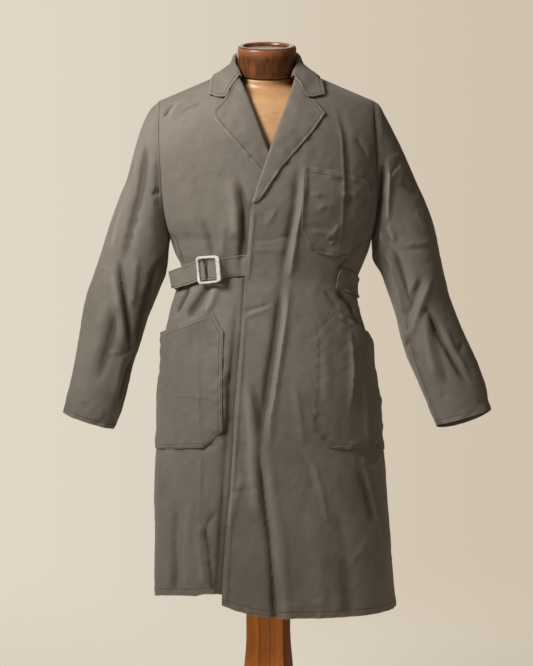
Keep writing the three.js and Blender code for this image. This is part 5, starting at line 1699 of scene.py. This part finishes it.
def model_buckle_frame():
    wire = BUCKLE["wire"]
    wide, high = BUCKLE["width"] + 2 * wire, BUCKLE["height"] + 2 * wire
    deselect()
    bpy.ops.mesh.primitive_plane_add(size=1)
    obj = bpy.context.object
    obj.scale = (wide * MM, high * MM, 1)
    bpy.ops.object.transform_apply(scale=True)
    round_corners(BUCKLE["corner"] + wire, 6)
    bpy.ops.mesh.inset(thickness=2 * wire * MM)
    bpy.ops.mesh.delete(type="FACE")
    bpy.ops.mesh.select_all(action="SELECT")
    bpy.ops.mesh.extrude_region_move(TRANSFORM_OT_translate={"value": (0, 0, 2 * wire * MM)})
    bpy.ops.mesh.select_all(action="SELECT")
    bpy.ops.transform.translate(value=(0, 0, -wire * MM))
    near, far = (BUCKLE["width"] / 2 - wire - 4) * MM, (BUCKLE["width"] / 2 - wire + 0.5) * MM
    select(obj, "VERT", lambda point: point.co.x > near and abs(point.co.x) < far)
    bpy.ops.transform.translate(value=(-1.2 * MM, 0, 0))
    select(obj, "VERT", lambda point: point.co.x > far)
    bpy.ops.transform.translate(value=(2.6 * MM, 0, 0))
    end, reach = THICK_END["at"] * MM, (BUCKLE["height"] / 2 - BUCKLE["corner"]) * MM
    select(obj, "VERT", lambda point: point.co.x < end and abs(point.co.y) > reach)
    bpy.ops.transform.resize(value=(1, 1.03, 1.5), center_override=(0, 0, 0))
    close_up()
    round_edges(obj, 1.5, 4)
    shade(40)
    upright = Matrix.Rotation(math.pi / 2, 4, "X")
    stands(obj, in_metres(BUCKLE_PLACE) @ upright, "buckle_frame", "steel", STEEL)


BAR = {"u": THICK_END["at"] - 3, "depth": -2.0, "wire": 1.0}


def model_buckle_bar():
    reach = BUCKLE["height"] / 2 - THICK_END["wire"] - SEAM
    deselect()
    bpy.ops.mesh.primitive_cylinder_add(
        vertices=20, radius=BAR["wire"] * MM, depth=2 * reach * MM,
        location=(BAR["u"] * MM, -BAR["depth"] * MM, 0))
    obj = bpy.context.object
    bpy.ops.object.transform_apply(location=True)
    select(obj, "FACE", lambda face: abs(face.normal.z) > 0.9)
    bpy.ops.mesh.bevel(offset=0.3 * MM, segments=3)
    object_mode()
    shade(40)
    stands(obj, in_metres(BUCKLE_PLACE), "buckle_bar", "steel", BAR_STEEL)


# Dress form and stand
NECK_PLACE = Matrix.Translation((0, -0.004, 1.466)) @ Matrix.Rotation(math.radians(12), 4, "X")
CAP_PROFILE = [
    (52, 4.4), (55, 4.4), (57.5, 8), (58, 16), (57.4, 24), (57.4, 34), (58, 42), (58.5, 56),
    (57.6, 59.4), (55.5, 61.4), (53, 62), (47, 61.6), (45.4, 60.4), (44.6, 57.6), (41, 57.0),
    (12, 56.6), (3, 56.6),
]
CAP_RIMS = [(58.5, 57.5, 2.6), (46.5, 61.2, 2.0), (56, 6, 2.0)]


def paint(obj, title, value_of):
    mesh = obj.data
    attribute = mesh.attributes.new(title, "FLOAT", "POINT")
    attribute.data.foreach_set("value", [float(value_of(v.co)) for v in mesh.vertices])


def model_cap():
    deselect()
    bpy.ops.mesh.primitive_circle_add(vertices=72, radius=CAP_PROFILE[0][0] * MM, fill_type="NGON",
                                      location=(0, 0, CAP_PROFILE[0][1] * MM))
    obj = bpy.context.object
    bpy.ops.object.transform_apply(location=True)
    edit_mode()
    stack(CAP_PROFILE)
    close_up()
    round_edges(obj, 0.6, 2, 25)
    shade(32)

    def rim_wear(co):
        radius, height = math.hypot(co.x, co.y) / MM, co.z / MM
        return max(math.exp(-(((radius - r) ** 2 + (height - h) ** 2) / w ** 2))
                   for r, h, w in CAP_RIMS)

    paint(obj, "rim", rim_wear)
    stands(obj, NECK_PLACE, "form_cap", "wood", CAP_WOOD)


def model_torso():
    source = bpy.data.objects["form_torso"]
    obj = source.copy()
    obj.data = source.data.copy()
    bpy.context.scene.collection.objects.link(obj)
    only(obj)
    edit_mode()
    bpy.ops.mesh.remove_doubles(threshold=0.00001)
    bpy.ops.mesh.tris_convert_to_quads()
    object_mode()
    rounder = obj.modifiers.new("rounder", "SUBSURF")
    rounder.levels = 2
    rounder.render_levels = 2
    apply_modifiers(obj)
    shade(50)
    obj.name = "form_torso_cover"
    rides(obj, COVER, ("form_torso",))


POST = {"turn": 13.0, "corner": 5.0}
POST_PROFILE = [
    (104, 40.3), (97, 47), (92, 55), (84, 66), (77, 80), (69.5, 98), (63, 120), (57, 144), (52, 170),
    (48.5, 198), (45.5, 230), (43, 260), (41, 290), (38.6, 320), (37.5, 345), (37.5, 500),
    (37.5, 849.6),
]
POST_JOINTS = (-10.5, 12.5)
STAND_PLACE = (
    Matrix.Translation((POST_X * MM, 0, 0)) @ Matrix.Rotation(math.radians(-POST["turn"]), 4, "Z")
)


def model_post():
    deselect()
    half, low = POST_PROFILE[0]
    bpy.ops.mesh.primitive_plane_add(size=2 * half * MM, location=(0, 0, low * MM))
    obj = bpy.context.object
    bpy.ops.object.transform_apply(location=True)
    round_corners(POST["corner"], 4)
    stack(POST_PROFILE)
    close_up()
    only(obj)
    bpy.ops.object.mode_set(mode="EDIT")
    for at in POST_JOINTS:
        for off in (-0.9, -0.3, 0.3, 0.9):
            bpy.ops.mesh.select_all(action="SELECT")
            bpy.ops.mesh.bisect(plane_co=((at + off) * MM, 0, 0), plane_no=(1, 0, 0))
    object_mode()
    shade(30)
    paint(obj, "joint", lambda co: any(abs(co.x / MM - at) < 0.5 for at in POST_JOINTS))
    paint(obj, "board", lambda co: POST_JOINTS[0] < co.x / MM < POST_JOINTS[1])
    # side marks the right face, which the post's material draws in painted shade
    paint(obj, "side", lambda co: co.x > abs(co.y) + 0.001)
    stands(obj, STAND_PLACE, "stand_post", "wood", POST_WOOD)


BASE = {"half": 175.0, "height": 40.0, "corner": 14.0, "edge": 5.0}


def model_base():
    deselect()
    bpy.ops.mesh.primitive_plane_add(size=2 * BASE["half"] * MM)
    obj = bpy.context.object
    round_corners(BASE["corner"], 6)
    raise_face(BASE["height"] * MM)
    close_up()
    select(obj, "FACE", lambda face: abs(face.normal.z) > 0.9)
    bpy.ops.mesh.bevel(offset=BASE["edge"] * MM, segments=5)
    object_mode()
    shade(30)
    stands(obj, STAND_PLACE, "stand_base", "wood", POST_WOOD)


model_buckle_frame()
model_buckle_bar()
model_cap()
model_torso()
model_post()
model_base()


# Camera, floor and light
def add_camera():
    data = bpy.data.cameras.new("camera")
    data.lens = 97.7
    camera = bpy.data.objects.new("camera", data)
    camera.location = (SHIFT, -3.6, 1.28)
    camera.rotation_euler = (math.radians(84.9), 0, 0)
    bpy.context.scene.collection.objects.link(camera)
    bpy.context.scene.camera = camera


def add_lamp(name, place, aim_at, size, energy, colour, spread=180):
    data = bpy.data.lights.new(name, "AREA")
    data.size = size
    data.energy = energy
    data.color = colour
    data.spread = math.radians(spread)
    lamp = bpy.data.objects.new(name, data)
    lamp.location = place
    aim = Vector(aim_at) - Vector(place)
    lamp.rotation_euler = aim.to_track_quat("-Z", "Y").to_euler()
    lamp.visible_camera = False
    bpy.context.scene.collection.objects.link(lamp)


FLOOR_REACH = 2.6


def add_floor():
    deselect()
    bpy.ops.mesh.primitive_circle_add(vertices=96, radius=FLOOR_REACH, fill_type="NGON")
    floor = bpy.context.object
    floor.name = "floor"
    material, nodes, ramp, place = new_material("pale_floor")
    reach = nodes.add("ShaderNodeVectorMath", {0: place}, operation="LENGTH").outputs["Value"]
    floor.data.materials.append(dressed(material, nodes, {
        "Base Color": rgb(196, 188, 175), "Roughness": 0.8,
        "Emission Color": rgb(226, 216, 199), "Emission Strength": 0.55,
        "Alpha": ramp(reach, FLOOR_REACH * 0.96, 0.55),
    }))


def add_world():
    world = bpy.data.worlds.new("studio")
    bpy.context.scene.world = world
    world.use_nodes = True
    nodes = Nodes(world.node_tree)
    background = world.node_tree.nodes["Background"]
    heading = nodes.add("ShaderNodeTexCoord").outputs["Generated"]
    across = nodes.add("ShaderNodeSeparateXYZ", {0: heading}).outputs["X"]
    tone = nodes.blend(nodes.ramp(across, -0.16, 0.16), rgb(224, 215, 199), rgb(208, 194, 173))
    seen = nodes.add("ShaderNodeLightPath").outputs["Is Camera Ray"]
    nodes.put(background.inputs["Color"], tone)
    nodes.put(background.inputs["Strength"], nodes.ramp(seen, 0, 1, 0.17, 1.0))


add_camera()
add_floor()
add_world()
add_lamp("key", (-1.12, -1.0, 2.2), (-0.14, -0.1, 1.25), 0.62, 8.8, (1.0, 0.995, 0.985), 84)
add_lamp("fill", (1.9, -2.9, 1.8), (0, 0, 1), 2.2, 5, (1.0, 0.94, 0.86))
add_lamp("back", (-0.9, 3.2, 1.9), (0, 0, 0.9), 2.4, 34, (1.0, 0.97, 0.93))
bpy.context.scene.view_settings.view_transform = "Standard"
